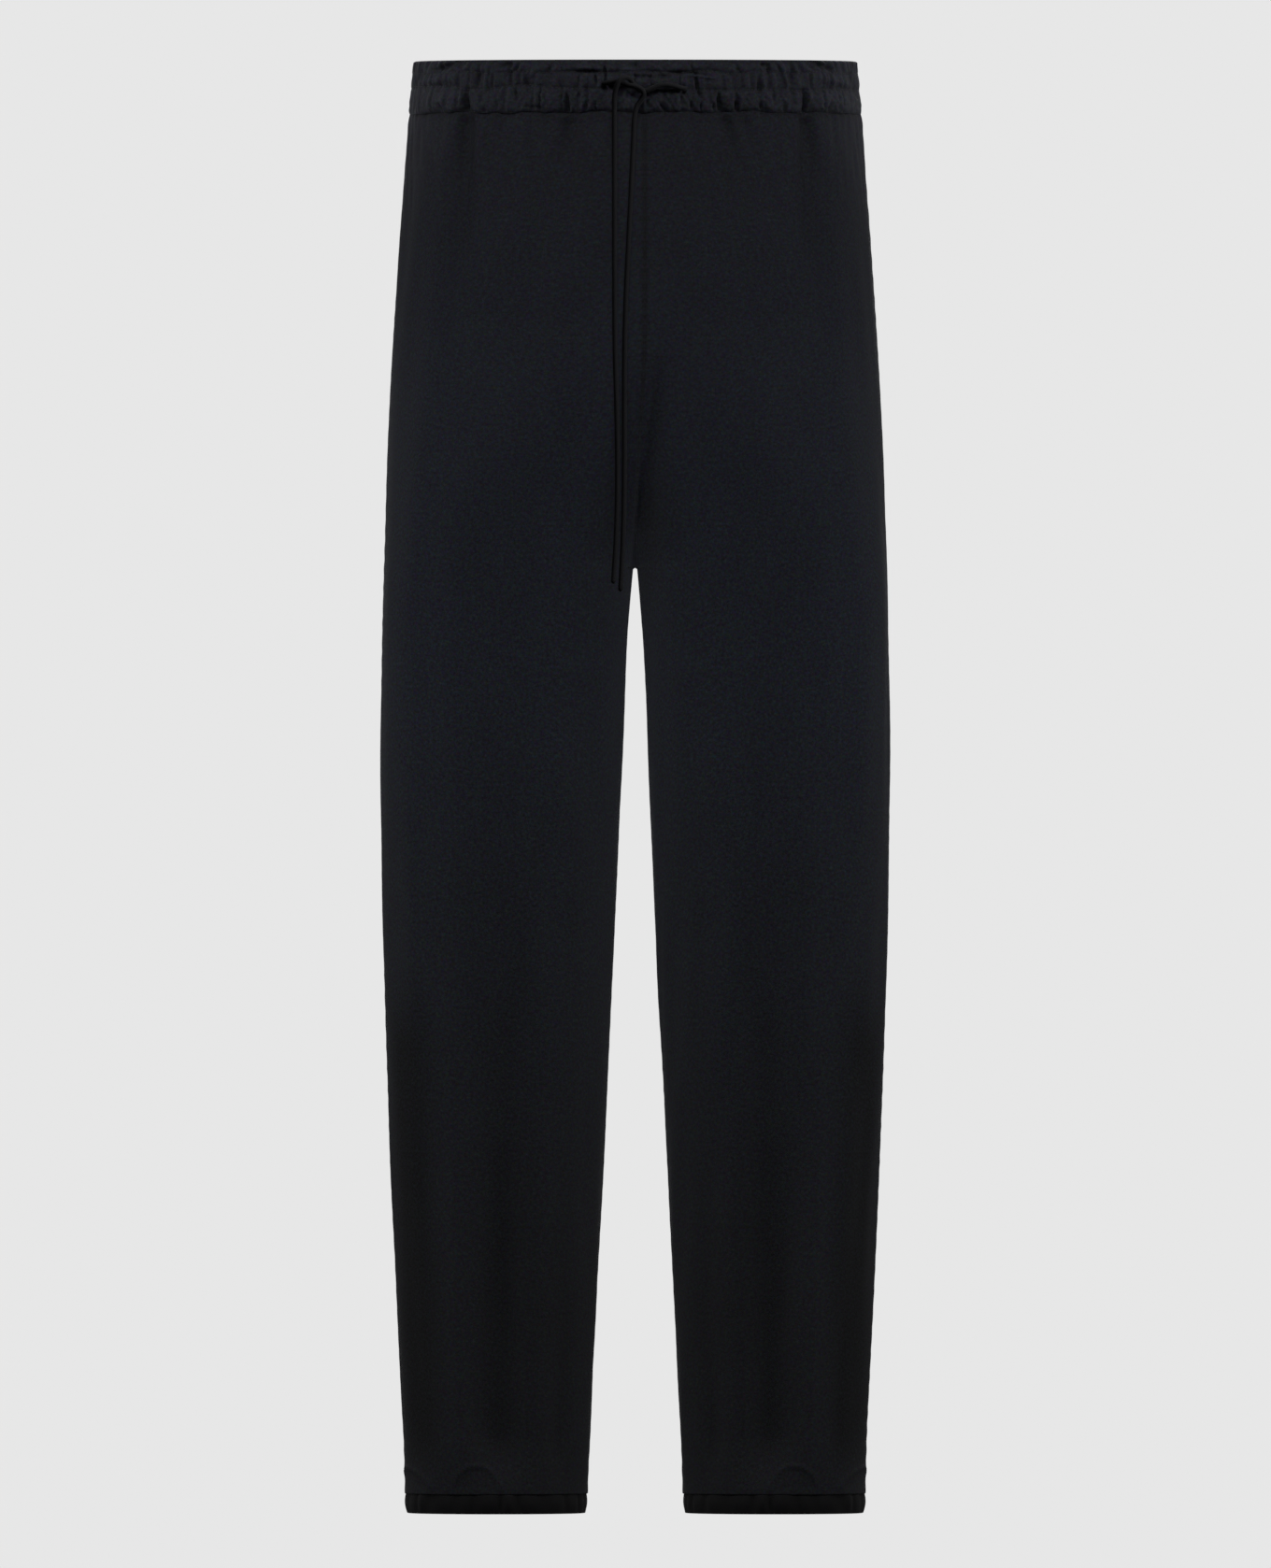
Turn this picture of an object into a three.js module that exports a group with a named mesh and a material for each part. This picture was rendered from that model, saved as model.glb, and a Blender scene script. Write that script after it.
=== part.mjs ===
// Long, loose joggers with a shirred drawstring waist and narrow gathered cuffs, kept in the hollow
// form that they have when worn. Millimetres, +Z up. The wearer faces -Y, so the wearer's right leg is
// on the -X side. The origin is the middle of the waist, half way up the waistband.
//
// Four leg panels (front and back, right and left), a waistband in two halves, two cuffs and the two
// ends of a drawstring tied in a half knot. Every cloth piece is a thin closed wall.

import * as THREE from 'three';

// ---- Driving dimensions ----
const LENGTH = 1050; // from the top edge of the waistband to the bottom of the cuffs
const WAISTBAND_HEIGHT = 38;
const CROTCH_DROP = 366; // every drop is measured down from the top edge
const CUFF_HEIGHT = 14;
const CLOTH = 1.5; // wall of one layer of cloth
const BAND_WALL = 2.2; // waistband and cuffs: folded cloth over elastic
const SEAM_GAP = 0.3; // between two pieces at a seam
const CORD_DIAMETER = 3.6;

const ORIGIN_DROP = WAISTBAND_HEIGHT / 2;
const CUFF_TOP = LENGTH - CUFF_HEIGHT;

// ---- Form of the worn garment: one row for each level ----
// side: half width at the side seams; gap: half of the space between the legs;
// front and back: depth before and behind the plane of the side seams;
// square: exponent of the rounded outline, where 2 is an ellipse.
const FORM = [
  { drop: 0, side: 159.3, gap: 0, front: 95, back: 95, square: 2.3 },
  { drop: 38, side: 163, gap: 0, front: 100, back: 100, square: 2.3 },
  { drop: 125, side: 170, gap: 0, front: 111, back: 116, square: 2.32 },
  { drop: 230, side: 176.6, gap: 0, front: 114, back: 126, square: 2.45 },
  { drop: 366, side: 181.8, gap: 3.8, front: 104, back: 115, square: 2.85 },
  { drop: 430, side: 183.4, gap: 6.8, front: 99, back: 108, square: 2.7 },
  { drop: 530, side: 184, gap: 10.8, front: 93, back: 98, square: 2.5 },
  { drop: 700, side: 180.5, gap: 18.3, front: 84, back: 88, square: 2.35 },
  { drop: 870, side: 173.7, gap: 26.8, front: 75, back: 82, square: 2.25 },
  { drop: 1010, side: 166.8, gap: 34, front: 69, back: 75, square: 2.15 },
  { drop: 1050, side: 165.4, gap: 35.6, front: 67, back: 72, square: 2.15 },
];

const FORK_DEPTH = { front: 180, back: 210 }; // height of the rise seam's curve into the crotch
const FORK_EASE = { start: 1.4, end: 1.5 }; // above 1 the curve starts and ends gently
const ARCH = { half: 3.8, fade: 45 }; // the small flat arch at the crotch, and how fast it fades below
const CENTRE_SHIFT = 7; // the centre front seam hangs this far to the wearer's left
const CENTRE_SHIFT_ENDS = { from: 190, to: 350 };

// ---- Folds: at is the place across a panel, 0 at the side seam and 1 at the centre or inseam ----
// Pleats are deepest just under the waistband and fade out downwards; lean is how far they drift across.
const PLEAT_MOUTH = { height: 14, share: 0.35 }; // how flat the seam holds them at the top
const PLEATS = {
  front: [
    { at: 0.1, lean: 0.0, length: 80, width: 12, rise: 2 },
    { at: 0.49, lean: 0.01, length: 130, width: 8, rise: -5 },
    { at: 0.57, lean: 0.04, length: 110, width: 8, rise: 2 },
    { at: 0.79, lean: 0.02, length: 60, width: 7, rise: -3 },
  ],
  back: [
    { at: 0.2, lean: 0.02, length: 90, width: 9, rise: -3 },
    { at: 0.44, lean: 0.0, length: 120, width: 9, rise: -4.5 },
    { at: 0.66, lean: -0.03, length: 100, width: 9, rise: 2 },
    { at: 0.84, lean: 0.02, length: 80, width: 8, rise: -3.5 },
  ],
};
// Flutes grow from their start down to the cuff.
const FLUTES = {
  front: [
    { at: 0.13, start: 700, width: 13, rise: 2.2 },
    { at: 0.255, start: 600, width: 11, rise: -6 },
    { at: 0.377, start: 640, width: 13, rise: 2.6 },
    { at: 0.5, start: 520, width: 12, rise: -6 },
    { at: 0.59, start: 700, width: 12, rise: 2.2 },
    { at: 0.705, start: 780, width: 10, rise: -4 },
    { at: 0.84, start: 820, width: 13, rise: 1.6 },
  ],
  back: [
    { at: 0.125, start: 800, width: 12, rise: 1.5 },
    { at: 0.25, start: 740, width: 11, rise: -4.5 },
    { at: 0.38, start: 700, width: 13, rise: 2 },
    { at: 0.51, start: 560, width: 12, rise: -6 },
    { at: 0.63, start: 640, width: 13, rise: 2.4 },
    { at: 0.755, start: 680, width: 11, rise: -5 },
    { at: 0.88, start: 880, width: 12, rise: 1.5 },
  ],
};
// The cloth falls over the cuff: swell is how far it stands out, tuck how far it turns in to the seam.
const BLOUSE = { height: 55, swell: 1.6, turn: 9, tuckSide: 1.6, tuckDepth: 4 };
const CUFF_SEAM_FLATNESS = 0.9; // share of a flute that the cuff seam takes away

// ---- Waistband and cuffs: one row for each level, from the top ----
// puff: how far the cloth stands out of the band; wave: height of the gathers. Stitched rows are flat.
const WAISTBAND_ROWS = [
  { drop: 0, puff: 1, wave: 0.6 },
  { drop: 4.5, puff: 1.6, wave: 1 },
  { drop: 9, puff: 0.4, wave: 0.3 },
  { drop: 14.5, puff: 1.7, wave: 1.1 },
  { drop: 20.5, puff: 0.4, wave: 0.3 },
  { drop: 29, puff: 1.9, wave: 1.3 },
  { drop: 38, puff: 0.7, wave: 0.6 },
];
const WAISTBAND_GATHERS = 48; // on each half
const CUFF_ROWS = [
  { drop: 0, puff: 0.2, wave: 0.3 },
  { drop: 6, puff: 1.6, wave: 0.8 },
  { drop: 14, puff: 0.6, wave: 0.6 },
];
const CUFF_GATHERS = 24;
const CUFF_INSET = { side: 0.6, depth: 3.4 };

// ---- Mesh density ----
const PANEL_COLUMNS = 22;
const PANEL_LEVELS = { hip: 5, fork: 6, leg: 9, blouse: 5 };
const CORD_SIDES = 8;
const CORD_STEPS_PER_POINT = 2;

// ---- Drawstring: [x, y, z] of each end, from its buttonhole through the knot to its free end ----
const RIGHT_CORD_POINTS = [
  [-23.5, -100.3, 1.4], [-19.6, -102.3, 2.2], [-15.4, -103.6, 2.8], [-11.2, -103.8, 2.6],
  [-7.2, -105.2, 1.0], [-3.2, -107.8, 0.0], [0.8, -108.9, -0.8], [4.6, -108.4, -2.6],
  [6.2, -107.6, -6.2], [4.4, -106.9, -10.4], [1.4, -106.6, -14.5], [-0.4, -106.8, -22.0],
  [-1.4, -107.8, -42.0], [-3.0, -110.8, -75.0], [-4.8, -114.2, -112.0], [-6.6, -116.1, -150.0],
  [-7.6, -116.9, -190.0], [-7.8, -117.1, -230.0], [-7.8, -117.2, -270.0], [-8.2, -117.2, -305.0],
  [-9.2, -117.2, -336.0], [-10.6, -117.2, -364.5],
];
const LEFT_CORD_POINTS = [
  [36.2, -99.6, -2.2], [32.4, -101.8, -1.3], [27.6, -103.2, -0.1], [22.6, -103.4, 0.7],
  [17.4, -103.5, 0.2], [12.4, -103.5, -1.8], [7.8, -103.4, -3.4], [3.4, -103.1, -3.2],
  [-0.6, -103.0, 0.8], [-4.0, -104.2, 4.8], [-7.8, -107.2, 5.9], [-11.4, -108.6, 3.6],
  [-13.6, -108.1, -1.0], [-14.8, -107.2, -7.0], [-15.0, -106.8, -16.0], [-15.0, -107.8, -42.0],
  [-14.9, -111.8, -85.0], [-14.9, -115.5, -135.0], [-14.5, -116.9, -190.0], [-13.2, -117.1, -240.0],
  [-12.8, -117.2, -285.0], [-13.8, -117.2, -325.0], [-15.8, -117.2, -359.0],
];

// ---- Interpolation ----
const clamp01 = (t) => Math.min(1, Math.max(0, t));
const smooth = (t) => clamp01(t) ** 2 * (3 - 2 * clamp01(t));
const bell = (t) => Math.exp(-0.5 * t * t);

// Smooth curve through one column of a table, at a drop.
function columnAt(table, column, drop) {
  const last = table.length - 1;
  let i = 0;
  while (i < last - 1 && drop > table[i + 1].drop) i += 1;
  const slope = (k) => {
    const a = table[Math.max(0, k - 1)];
    const b = table[Math.min(last, k + 1)];
    return (b[column] - a[column]) / (b.drop - a.drop);
  };
  const span = table[i + 1].drop - table[i].drop;
  const t = clamp01((drop - table[i].drop) / span);
  const rise = table[i + 1][column] - table[i][column];
  const [m0, m1] = [slope(i) * span, slope(i + 1) * span];
  return table[i][column] + t * m0 + t * t * (3 * rise - 2 * m0 - m1) + t ** 3 * (m0 + m1 - 2 * rise);
}

// Point of a rounded unit outline: [1, 0] at the side seam, [0, 1] at its deepest.
function outline(angle, squareness) {
  const [c, s] = [Math.cos(angle), Math.sin(angle)];
  const reach = (Math.abs(c) ** squareness + Math.abs(s) ** squareness) ** (-1 / squareness);
  return [c * reach, s * reach];
}

// ---- Leg panels, worked out on the wearer's left (+X) ----
// How far a level has gone from the round of the hips, 0, to the round of one leg, 1.
function forkShare(face, drop) {
  const t = clamp01((drop - CROTCH_DROP + FORK_DEPTH[face]) / FORK_DEPTH[face]);
  return 1 - (1 - t ** FORK_EASE.start) ** FORK_EASE.end;
}

function archAt(drop) {
  return drop > CROTCH_DROP ? ARCH.half * Math.exp((CROTCH_DROP - drop) / ARCH.fade) : 0;
}

function gapAt(drop) {
  return drop > CROTCH_DROP ? columnAt(FORM, 'gap', drop) - archAt(drop) : 0;
}

function centreShift(drop) {
  const { from, to } = CENTRE_SHIFT_ENDS;
  return CENTRE_SHIFT * (1 - smooth((drop - from) / (to - from)));
}

// The rounded outline that a panel follows at a drop. Above the crotch it is cut off at the middle of the
// garment, and its centre moves out towards the leg as the rise seam curves under.
function sectionAt(face, drop) {
  const width = columnAt(FORM, 'side', drop);
  const gap = gapAt(drop);
  const share = forkShare(face, drop);
  const squareness = columnAt(FORM, 'square', drop);
  const centre = drop < CROTCH_DROP ? (width * share) / (1 + share) : (width + gap) / 2;
  const half = drop < CROTCH_DROP ? width - centre : (width - gap) / 2;
  const sweep = Math.atan2((1 - share ** squareness) ** (1 / squareness), -share);
  return { centre, half, depth: columnAt(FORM, face, drop), squareness, sweep };
}

// Angle of a place across a panel. Near the crotch only the part by the rise seam slides round.
function angleAt(face, u, drop) {
  const { sweep } = sectionAt(face, drop);
  const t = (drop - CROTCH_DROP + FORK_DEPTH[face]) / FORK_DEPTH[face];
  const calm = (Math.PI / 2) * (1 + smooth(t));
  return calm * u + (sweep - calm) * u ** 4;
}

// [x, y] of the smooth cloth, before its folds; side is +1 on the wearer's left and -1 on the right.
function smoothSection(face, side, u, drop) {
  const { centre, half, depth, squareness } = sectionAt(face, drop);
  const [acrossUnit, deepUnit] = outline(angleAt(face, u, drop), squareness);
  const shift = (face === 'front' ? centreShift(drop) * u ** 3 : 0) + side * archAt(drop) * u ** 10;
  return [side * (centre + half * acrossUnit) + shift, depth * deepUnit * (face === 'front' ? -1 : 1)];
}

// Length of the cloth across a panel at a drop, near enough for the widths of its folds.
function panelGirth(face, drop) {
  const { half, depth, sweep } = sectionAt(face, drop);
  return (sweep * Math.hypot(half, depth)) / Math.SQRT2;
}

function foldRise(face, u, drop) {
  const girth = panelGirth(face, drop);
  const below = drop - WAISTBAND_HEIGHT;
  const mouth = PLEAT_MOUTH.share + (1 - PLEAT_MOUTH.share) * smooth(below / PLEAT_MOUTH.height);
  const turn = clamp01((drop - CUFF_TOP + BLOUSE.turn) / BLOUSE.turn);
  let rise = 0;
  for (const pleat of PLEATS[face]) {
    const t = below / pleat.length;
    const across = (u - pleat.at - pleat.lean * t) * girth;
    rise += pleat.rise * mouth * (1 - smooth(t)) * bell(across / pleat.width);
  }
  for (const flute of FLUTES[face]) {
    const t = (drop - flute.start) / (CUFF_TOP - flute.start);
    const across = (u - flute.at) * girth;
    rise += flute.rise * smooth(t) * (1 - CUFF_SEAM_FLATNESS * smooth(turn)) * bell(across / flute.width);
  }
  const tuck = BLOUSE.tuckSide + (BLOUSE.tuckDepth - BLOUSE.tuckSide) * Math.sin(u * Math.PI) ** 2;
  const swell = BLOUSE.swell * smooth((drop - CUFF_TOP + BLOUSE.height) / BLOUSE.height);
  return rise + swell - (BLOUSE.swell + tuck) * (1 - Math.sqrt(1 - turn * turn));
}

// Drops of a panel's rows: even down the hip, closer towards the crotch, the leg, then the blouse.
function panelLevels(face) {
  const forkTop = CROTCH_DROP - FORK_DEPTH[face];
  const blouseTop = CUFF_TOP - BLOUSE.height;
  const { hip, fork, leg, blouse } = PANEL_LEVELS;
  const top = WAISTBAND_HEIGHT + SEAM_GAP / 2;
  const drops = [];
  for (let i = 0; i < hip; i += 1) drops.push(top + (forkTop - top) * (i / hip) ** 1.3);
  for (let i = 0; i <= fork; i += 1) drops.push(forkTop + FORK_DEPTH[face] * Math.sin((i / fork) * (Math.PI / 2)));
  for (let i = 1; i <= leg; i += 1) drops.push(CROTCH_DROP + (blouseTop - CROTCH_DROP) * (i / leg));
  for (let i = 1; i <= blouse; i += 1) {
    const t = Math.sin((i / blouse) * (Math.PI / 2));
    drops.push(blouseTop + (BLOUSE.height - SEAM_GAP / 2) * t);
  }
  return drops;
}

// Normals of a grid of points, columns by rows, from the faces round each point.
function gridNormals(grid, closed) {
  const columns = grid.length;
  const rows = grid[0].length;
  const normals = grid.map((column) => column.map(() => new THREE.Vector3()));
  for (let c = 0; c < (closed ? columns : columns - 1); c += 1) {
    const d = (c + 1) % columns;
    for (let r = 0; r < rows - 1; r += 1) {
      const across = new THREE.Vector3().subVectors(grid[d][r + 1], grid[c][r]);
      const down = new THREE.Vector3().subVectors(grid[c][r + 1], grid[d][r]);
      const face = across.cross(down);
      for (const [i, j] of [[c, r], [d, r], [c, r + 1], [d, r + 1]]) normals[i][j].add(face);
    }
  }
  normals.forEach((column) => column.forEach((n) => n.normalize()));
  return normals;
}

// A closed wall between an outer and an inner grid, each a list of columns from the top down. The two
// may have different numbers of rows. The first column is joined to the last if the wall is a tube.
function wallGeometry(outer, inner, closed) {
  const points = [];
  const faces = [];
  const index = (grid) => grid.map((column) => column.map((p) => points.push(p.x, p.y, p.z) / 3 - 1));
  const [out, into] = [index(outer), index(inner)];
  const columns = outer.length;
  for (let c = 0; c < (closed ? columns : columns - 1); c += 1) {
    const d = (c + 1) % columns;
    for (let r = 0; r < out[c].length - 1; r += 1) {
      faces.push(out[c][r], out[c][r + 1], out[d][r + 1], out[c][r], out[d][r + 1], out[d][r]);
    }
    for (let r = 0; r < into[c].length - 1; r += 1) {
      faces.push(into[c][r], into[d][r + 1], into[c][r + 1], into[c][r], into[d][r], into[d][r + 1]);
    }
    const [o, i] = [out[c].length - 1, into[c].length - 1];
    faces.push(out[c][0], out[d][0], into[d][0], out[c][0], into[d][0], into[c][0]);
    faces.push(out[c][o], into[d][i], out[d][o], out[c][o], into[c][i], into[d][i]);
  }
  if (!closed) {
    faces.push(...capFaces(out[0], into[0], false), ...capFaces(out[columns - 1], into[columns - 1], true));
  }
  const geometry = new THREE.BufferGeometry();
  geometry.setAttribute('position', new THREE.Float32BufferAttribute(points, 3));
  geometry.setIndex(signedVolume(points, faces) < 0 ? turned(faces) : faces);
  geometry.computeVertexNormals();
  return geometry;
}

// Faces of the narrow end between one outer and one inner column.
function capFaces(out, into, turn) {
  const faces = [];
  let [o, i] = [0, 0];
  while (o < out.length - 1 || i < into.length - 1) {
    const outerNext = i === into.length - 1 || (o < out.length - 1 && (o + 1) / out.length <= (i + 1) / into.length);
    const third = outerNext ? out[o + 1] : into[i + 1];
    faces.push(...(turn ? [out[o], third, into[i]] : [out[o], into[i], third]));
    if (outerNext) o += 1;
    else i += 1;
  }
  return faces;
}

function signedVolume(points, faces) {
  const at = (i) => new THREE.Vector3(points[3 * i], points[3 * i + 1], points[3 * i + 2]);
  let volume = 0;
  for (let f = 0; f < faces.length; f += 3) {
    volume += at(faces[f]).dot(at(faces[f + 1]).cross(at(faces[f + 2]))) / 6;
  }
  return volume;
}

function turned(faces) {
  const other = [];
  for (let f = 0; f < faces.length; f += 3) other.push(faces[f], faces[f + 2], faces[f + 1]);
  return other;
}

function legPanel(face, side) {
  const levels = panelLevels(face);
  const columns = Array.from({ length: PANEL_COLUMNS + 1 }, (_, c) => c / PANEL_COLUMNS);
  const away = face === 'front' ? -1 : 1;
  const base = columns.map((u) => levels.map((drop) => {
    const [x, y] = smoothSection(face, side, u, drop);
    return new THREE.Vector3(x, y, ORIGIN_DROP - drop);
  }));
  // The normals of the grid point out of the garment on one side and into it on the other.
  const outwards = -side * away;
  const normals = gridNormals(base, false);
  // Keeps a point on its own side of the centre seam, the side seam and the inseam.
  const trim = (point, drop) => {
    const centre = face === 'front' ? centreShift(drop) : 0;
    const x = side * Math.max(side * (point.x - centre), SEAM_GAP / 2) + centre;
    const y = away * Math.max(away * point.y, SEAM_GAP / 2);
    return new THREE.Vector3(x, y, point.z);
  };
  const moved = (c, r, height) => trim(
    base[c][r].clone().addScaledVector(normals[c][r], outwards * height),
    levels[r],
  );
  const rise = (c, r) => foldRise(face, columns[c], levels[r]);
  const outer = base.map((column, c) => column.map((_, r) => moved(c, r, rise(c, r))));
  const inner = base.map((column, c) => column.map((_, r) => {
    const point = moved(c, r, rise(c, r) - CLOTH);
    const ends = [ORIGIN_DROP - levels[0], ORIGIN_DROP - levels[levels.length - 1]];
    point.z = r === 0 ? ends[0] : Math.max(point.z, ends[1]);
    return point;
  }));
  outer.forEach((column) => {
    column[0].z = ORIGIN_DROP - levels[0];
    column[levels.length - 1].z = ORIGIN_DROP - levels[levels.length - 1];
  });
  return wallGeometry(outer, inner, false);
}

// ---- Gathered bands ----
// Uneven places of the gathers' crests and troughs, from 0 to 1.
function gatherPlaces(gathers) {
  const steps = Array.from({ length: 2 * gathers }, (_, i) => 1 + 0.3 * Math.sin(2.3 * i) + 0.18 * Math.sin(5.1 * i));
  const whole = steps.reduce((sum, step) => sum + step, 0);
  const places = [0];
  steps.forEach((step) => places.push(places[places.length - 1] + step / whole));
  return places;
}

const gatherWave = (i) => (i % 2 ? 1 : -1) * (0.8 + 0.2 * Math.sin(1.7 * i));

// One half of the waistband, from side seam to side seam.
function waistbandHalf(face) {
  const away = face === 'front' ? -1 : 1;
  const rowPoint = (place, drop, height) => {
    const angle = Math.PI * place;
    const [c, s] = outline(angle, columnAt(FORM, 'square', drop));
    const width = columnAt(FORM, 'side', drop) + height;
    const depth = columnAt(FORM, face, drop) + height;
    const y = away * Math.max(depth * s, SEAM_GAP / 2);
    return new THREE.Vector3(-width * c, y, ORIGIN_DROP - drop);
  };
  const bottom = WAISTBAND_HEIGHT - SEAM_GAP / 2;
  const places = gatherPlaces(WAISTBAND_GATHERS);
  const outer = places.map((place, i) => WAISTBAND_ROWS.map(({ drop, puff, wave }) => (
    rowPoint(place, Math.min(drop, bottom), puff + wave * gatherWave(i))
  )));
  const inner = places.map((place) => [0, bottom].map((drop) => rowPoint(place, drop, -BAND_WALL)));
  return wallGeometry(outer, inner, false);
}

function cuff(side) {
  const rowPoint = (place, drop, height) => {
    const angle = 2 * Math.PI * place;
    const level = CUFF_TOP + drop;
    const [c, s] = outline(angle, columnAt(FORM, 'square', level));
    const width = columnAt(FORM, 'side', level);
    const gap = gapAt(level);
    const depth = columnAt(FORM, s < 0 ? 'front' : 'back', level);
    const x = (width + gap) / 2 + ((width - gap) / 2 - CUFF_INSET.side + height) * c;
    const y = (depth - CUFF_INSET.depth + height) * s;
    return new THREE.Vector3(side * x, y, ORIGIN_DROP - level);
  };
  const top = SEAM_GAP / 2;
  const places = gatherPlaces(CUFF_GATHERS).slice(0, -1);
  const outer = places.map((place, i) => CUFF_ROWS.map(({ drop, puff, wave }) => (
    rowPoint(place, Math.max(drop, top), puff + wave * gatherWave(i))
  )));
  const inner = places.map((place) => [top, CUFF_HEIGHT].map((drop) => rowPoint(place, drop, -BAND_WALL)));
  return wallGeometry(outer, inner, true);
}

// ---- Drawstring ----
// A curve whose steps follow its points, so that the knot gets finer steps than the hanging end.
class CordRoute extends THREE.CatmullRomCurve3 {
  getPointAt(t, target) {
    return this.getPoint(t, target);
  }

  getTangentAt(t, target) {
    return this.getTangent(t, target);
  }
}

function cord(points) {
  const route = new CordRoute(points.map(([x, y, z]) => new THREE.Vector3(x, y, z)), false, 'centripetal');
  const section = new THREE.Shape();
  for (let i = 0; i < CORD_SIDES; i += 1) {
    const angle = (2 * Math.PI * i) / CORD_SIDES;
    const corner = [Math.cos(angle) * CORD_DIAMETER / 2, Math.sin(angle) * CORD_DIAMETER / 2];
    if (i === 0) section.moveTo(...corner);
    else section.lineTo(...corner);
  }
  section.closePath();
  const steps = (points.length - 1) * CORD_STEPS_PER_POINT;
  return new THREE.ExtrudeGeometry(section, { steps, extrudePath: route, bevelEnabled: false });
}

// ---- Assembly ----
const material = (color, roughness) => new THREE.MeshStandardMaterial({ color, roughness, metalness: 0 });
const cloth = material(0x191b20, 0.85);
const bandCloth = material(0x17181c, 0.88);
const cuffCloth = material(0x0e0e10, 0.9);
const cordCloth = material(0x151619, 0.8);

const joggers = new THREE.Group();

function add(name, geometry, finish) {
  const mesh = new THREE.Mesh(geometry, finish);
  mesh.name = name;
  joggers.add(mesh);
}

for (const face of ['front', 'back']) {
  add(`${face}_right`, legPanel(face, -1), cloth);
  add(`${face}_left`, legPanel(face, 1), cloth);
  add(`waistband_${face}`, waistbandHalf(face), bandCloth);
}
add('cuff_right', cuff(-1), cuffCloth);
add('cuff_left', cuff(1), cuffCloth);
add('drawstring_right', cord(RIGHT_CORD_POINTS), cordCloth);
add('drawstring_left', cord(LEFT_CORD_POINTS), cordCloth);

export default joggers;
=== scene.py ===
import math
from collections import namedtuple
from math import pi, tau

import bpy
import numpy as np
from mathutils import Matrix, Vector


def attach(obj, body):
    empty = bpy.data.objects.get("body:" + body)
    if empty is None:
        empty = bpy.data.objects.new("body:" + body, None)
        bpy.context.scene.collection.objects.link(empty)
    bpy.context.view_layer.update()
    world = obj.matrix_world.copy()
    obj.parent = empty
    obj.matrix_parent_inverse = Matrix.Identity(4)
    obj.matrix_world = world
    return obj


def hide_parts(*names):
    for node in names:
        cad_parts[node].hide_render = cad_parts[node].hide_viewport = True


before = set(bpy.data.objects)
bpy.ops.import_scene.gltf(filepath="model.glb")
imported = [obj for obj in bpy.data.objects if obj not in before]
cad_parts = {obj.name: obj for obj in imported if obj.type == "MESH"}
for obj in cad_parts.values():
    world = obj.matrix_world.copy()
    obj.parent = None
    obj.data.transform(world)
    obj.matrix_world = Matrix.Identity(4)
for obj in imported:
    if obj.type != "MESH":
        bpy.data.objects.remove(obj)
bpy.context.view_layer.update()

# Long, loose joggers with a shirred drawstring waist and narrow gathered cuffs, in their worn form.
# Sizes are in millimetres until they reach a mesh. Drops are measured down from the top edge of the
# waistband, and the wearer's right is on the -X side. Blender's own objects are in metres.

MM = 0.001
HANDS = {"right": -1, "left": 1}  # the side of each leg on X
FACES = {"front": -1, "back": 1}  # the side of each panel on Y


def named(kind, rows):
    """A table with its columns named: a list of rows, or a dictionary of such lists."""
    if isinstance(rows, dict):
        return {key: named(kind, part) for key, part in rows.items()}
    return [kind(*row) for row in rows]


# ---- Driving dimensions, as in the part ----
LENGTH = 1050
BAND_HEIGHT = 38
CROTCH_DROP = 366
CUFF_HEIGHT = 14
CLOTH = 1.5
BAND_WALL = 2.2
CORD_DIAMETER = 3.6
ORIGIN_DROP = BAND_HEIGHT / 2
CUFF_TOP = LENGTH - CUFF_HEIGHT

# side: half width at the side seams. gap: half of the space between the legs. front, back: depths.
# square: exponent of the rounded outline, where 2 is an ellipse.
Level = namedtuple("Level", "drop side gap front back square")
FORM = named(Level, [
    (0, 159.3, 0, 95, 95, 2.3),
    (38, 163, 0, 100, 100, 2.3),
    (125, 170, 0, 111, 116, 2.32),
    (230, 176.6, 0, 114, 126, 2.45),
    (366, 181.8, 3.8, 104, 115, 2.85),
    (430, 183.4, 6.8, 99, 108, 2.7),
    (530, 184, 10.8, 93, 98, 2.5),
    (700, 180.5, 18.3, 84, 88, 2.35),
    (870, 173.7, 26.8, 75, 82, 2.25),
    (1010, 166.8, 34, 69, 75, 2.15),
    (1050, 165.4, 35.6, 67, 72, 2.15),
])
FORK_DEPTH = {"front": 180, "back": 210}
FORK_EASE = {"start": 1.4, "end": 1.5}
CENTRE_SHIFT = 7
CENTRE_SHIFT_ENDS = (190, 350)
ARCH = {"half": 3.8, "fade": 45}

# ---- Hem: a flatter lie than the part's ----
BLOUSE = {"height": 55, "swell": 0.8, "turn": 0.5, "tuck_side": 0.5, "tuck_depth": 0.4}
CUFF_INSET = {"side": 0.6, "depth": 1.0}
HEM_FADE = {"height": 45, "flatness": 0.9}  # how the flutes flatten out above the cuff
CUFF_EDGE = 0.35

# ---- Folds of the panels ----
# at: place across a panel, 0 at the side seam and 1 at the centre or inseam. lean: drift across over
# its length. Pleats fade out downwards from the waistband; flutes grow down to the cuff. shade: painted
# shade and highlight, from -1 where a flute's hollow is painted dark to 1 where its crest is painted
# lighter.
Pleat = namedtuple("Pleat", "at lean length width rise")
Flute = namedtuple("Flute", "at start full width rise shade")
Pouch = namedtuple("Pouch", "at half_width height")
# A soft trough (rise below 0) or ridge along a line, given by x and drop of its two ends.
Crease = namedtuple("Crease", "x0 drop0 x1 drop1 width rise")

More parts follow.
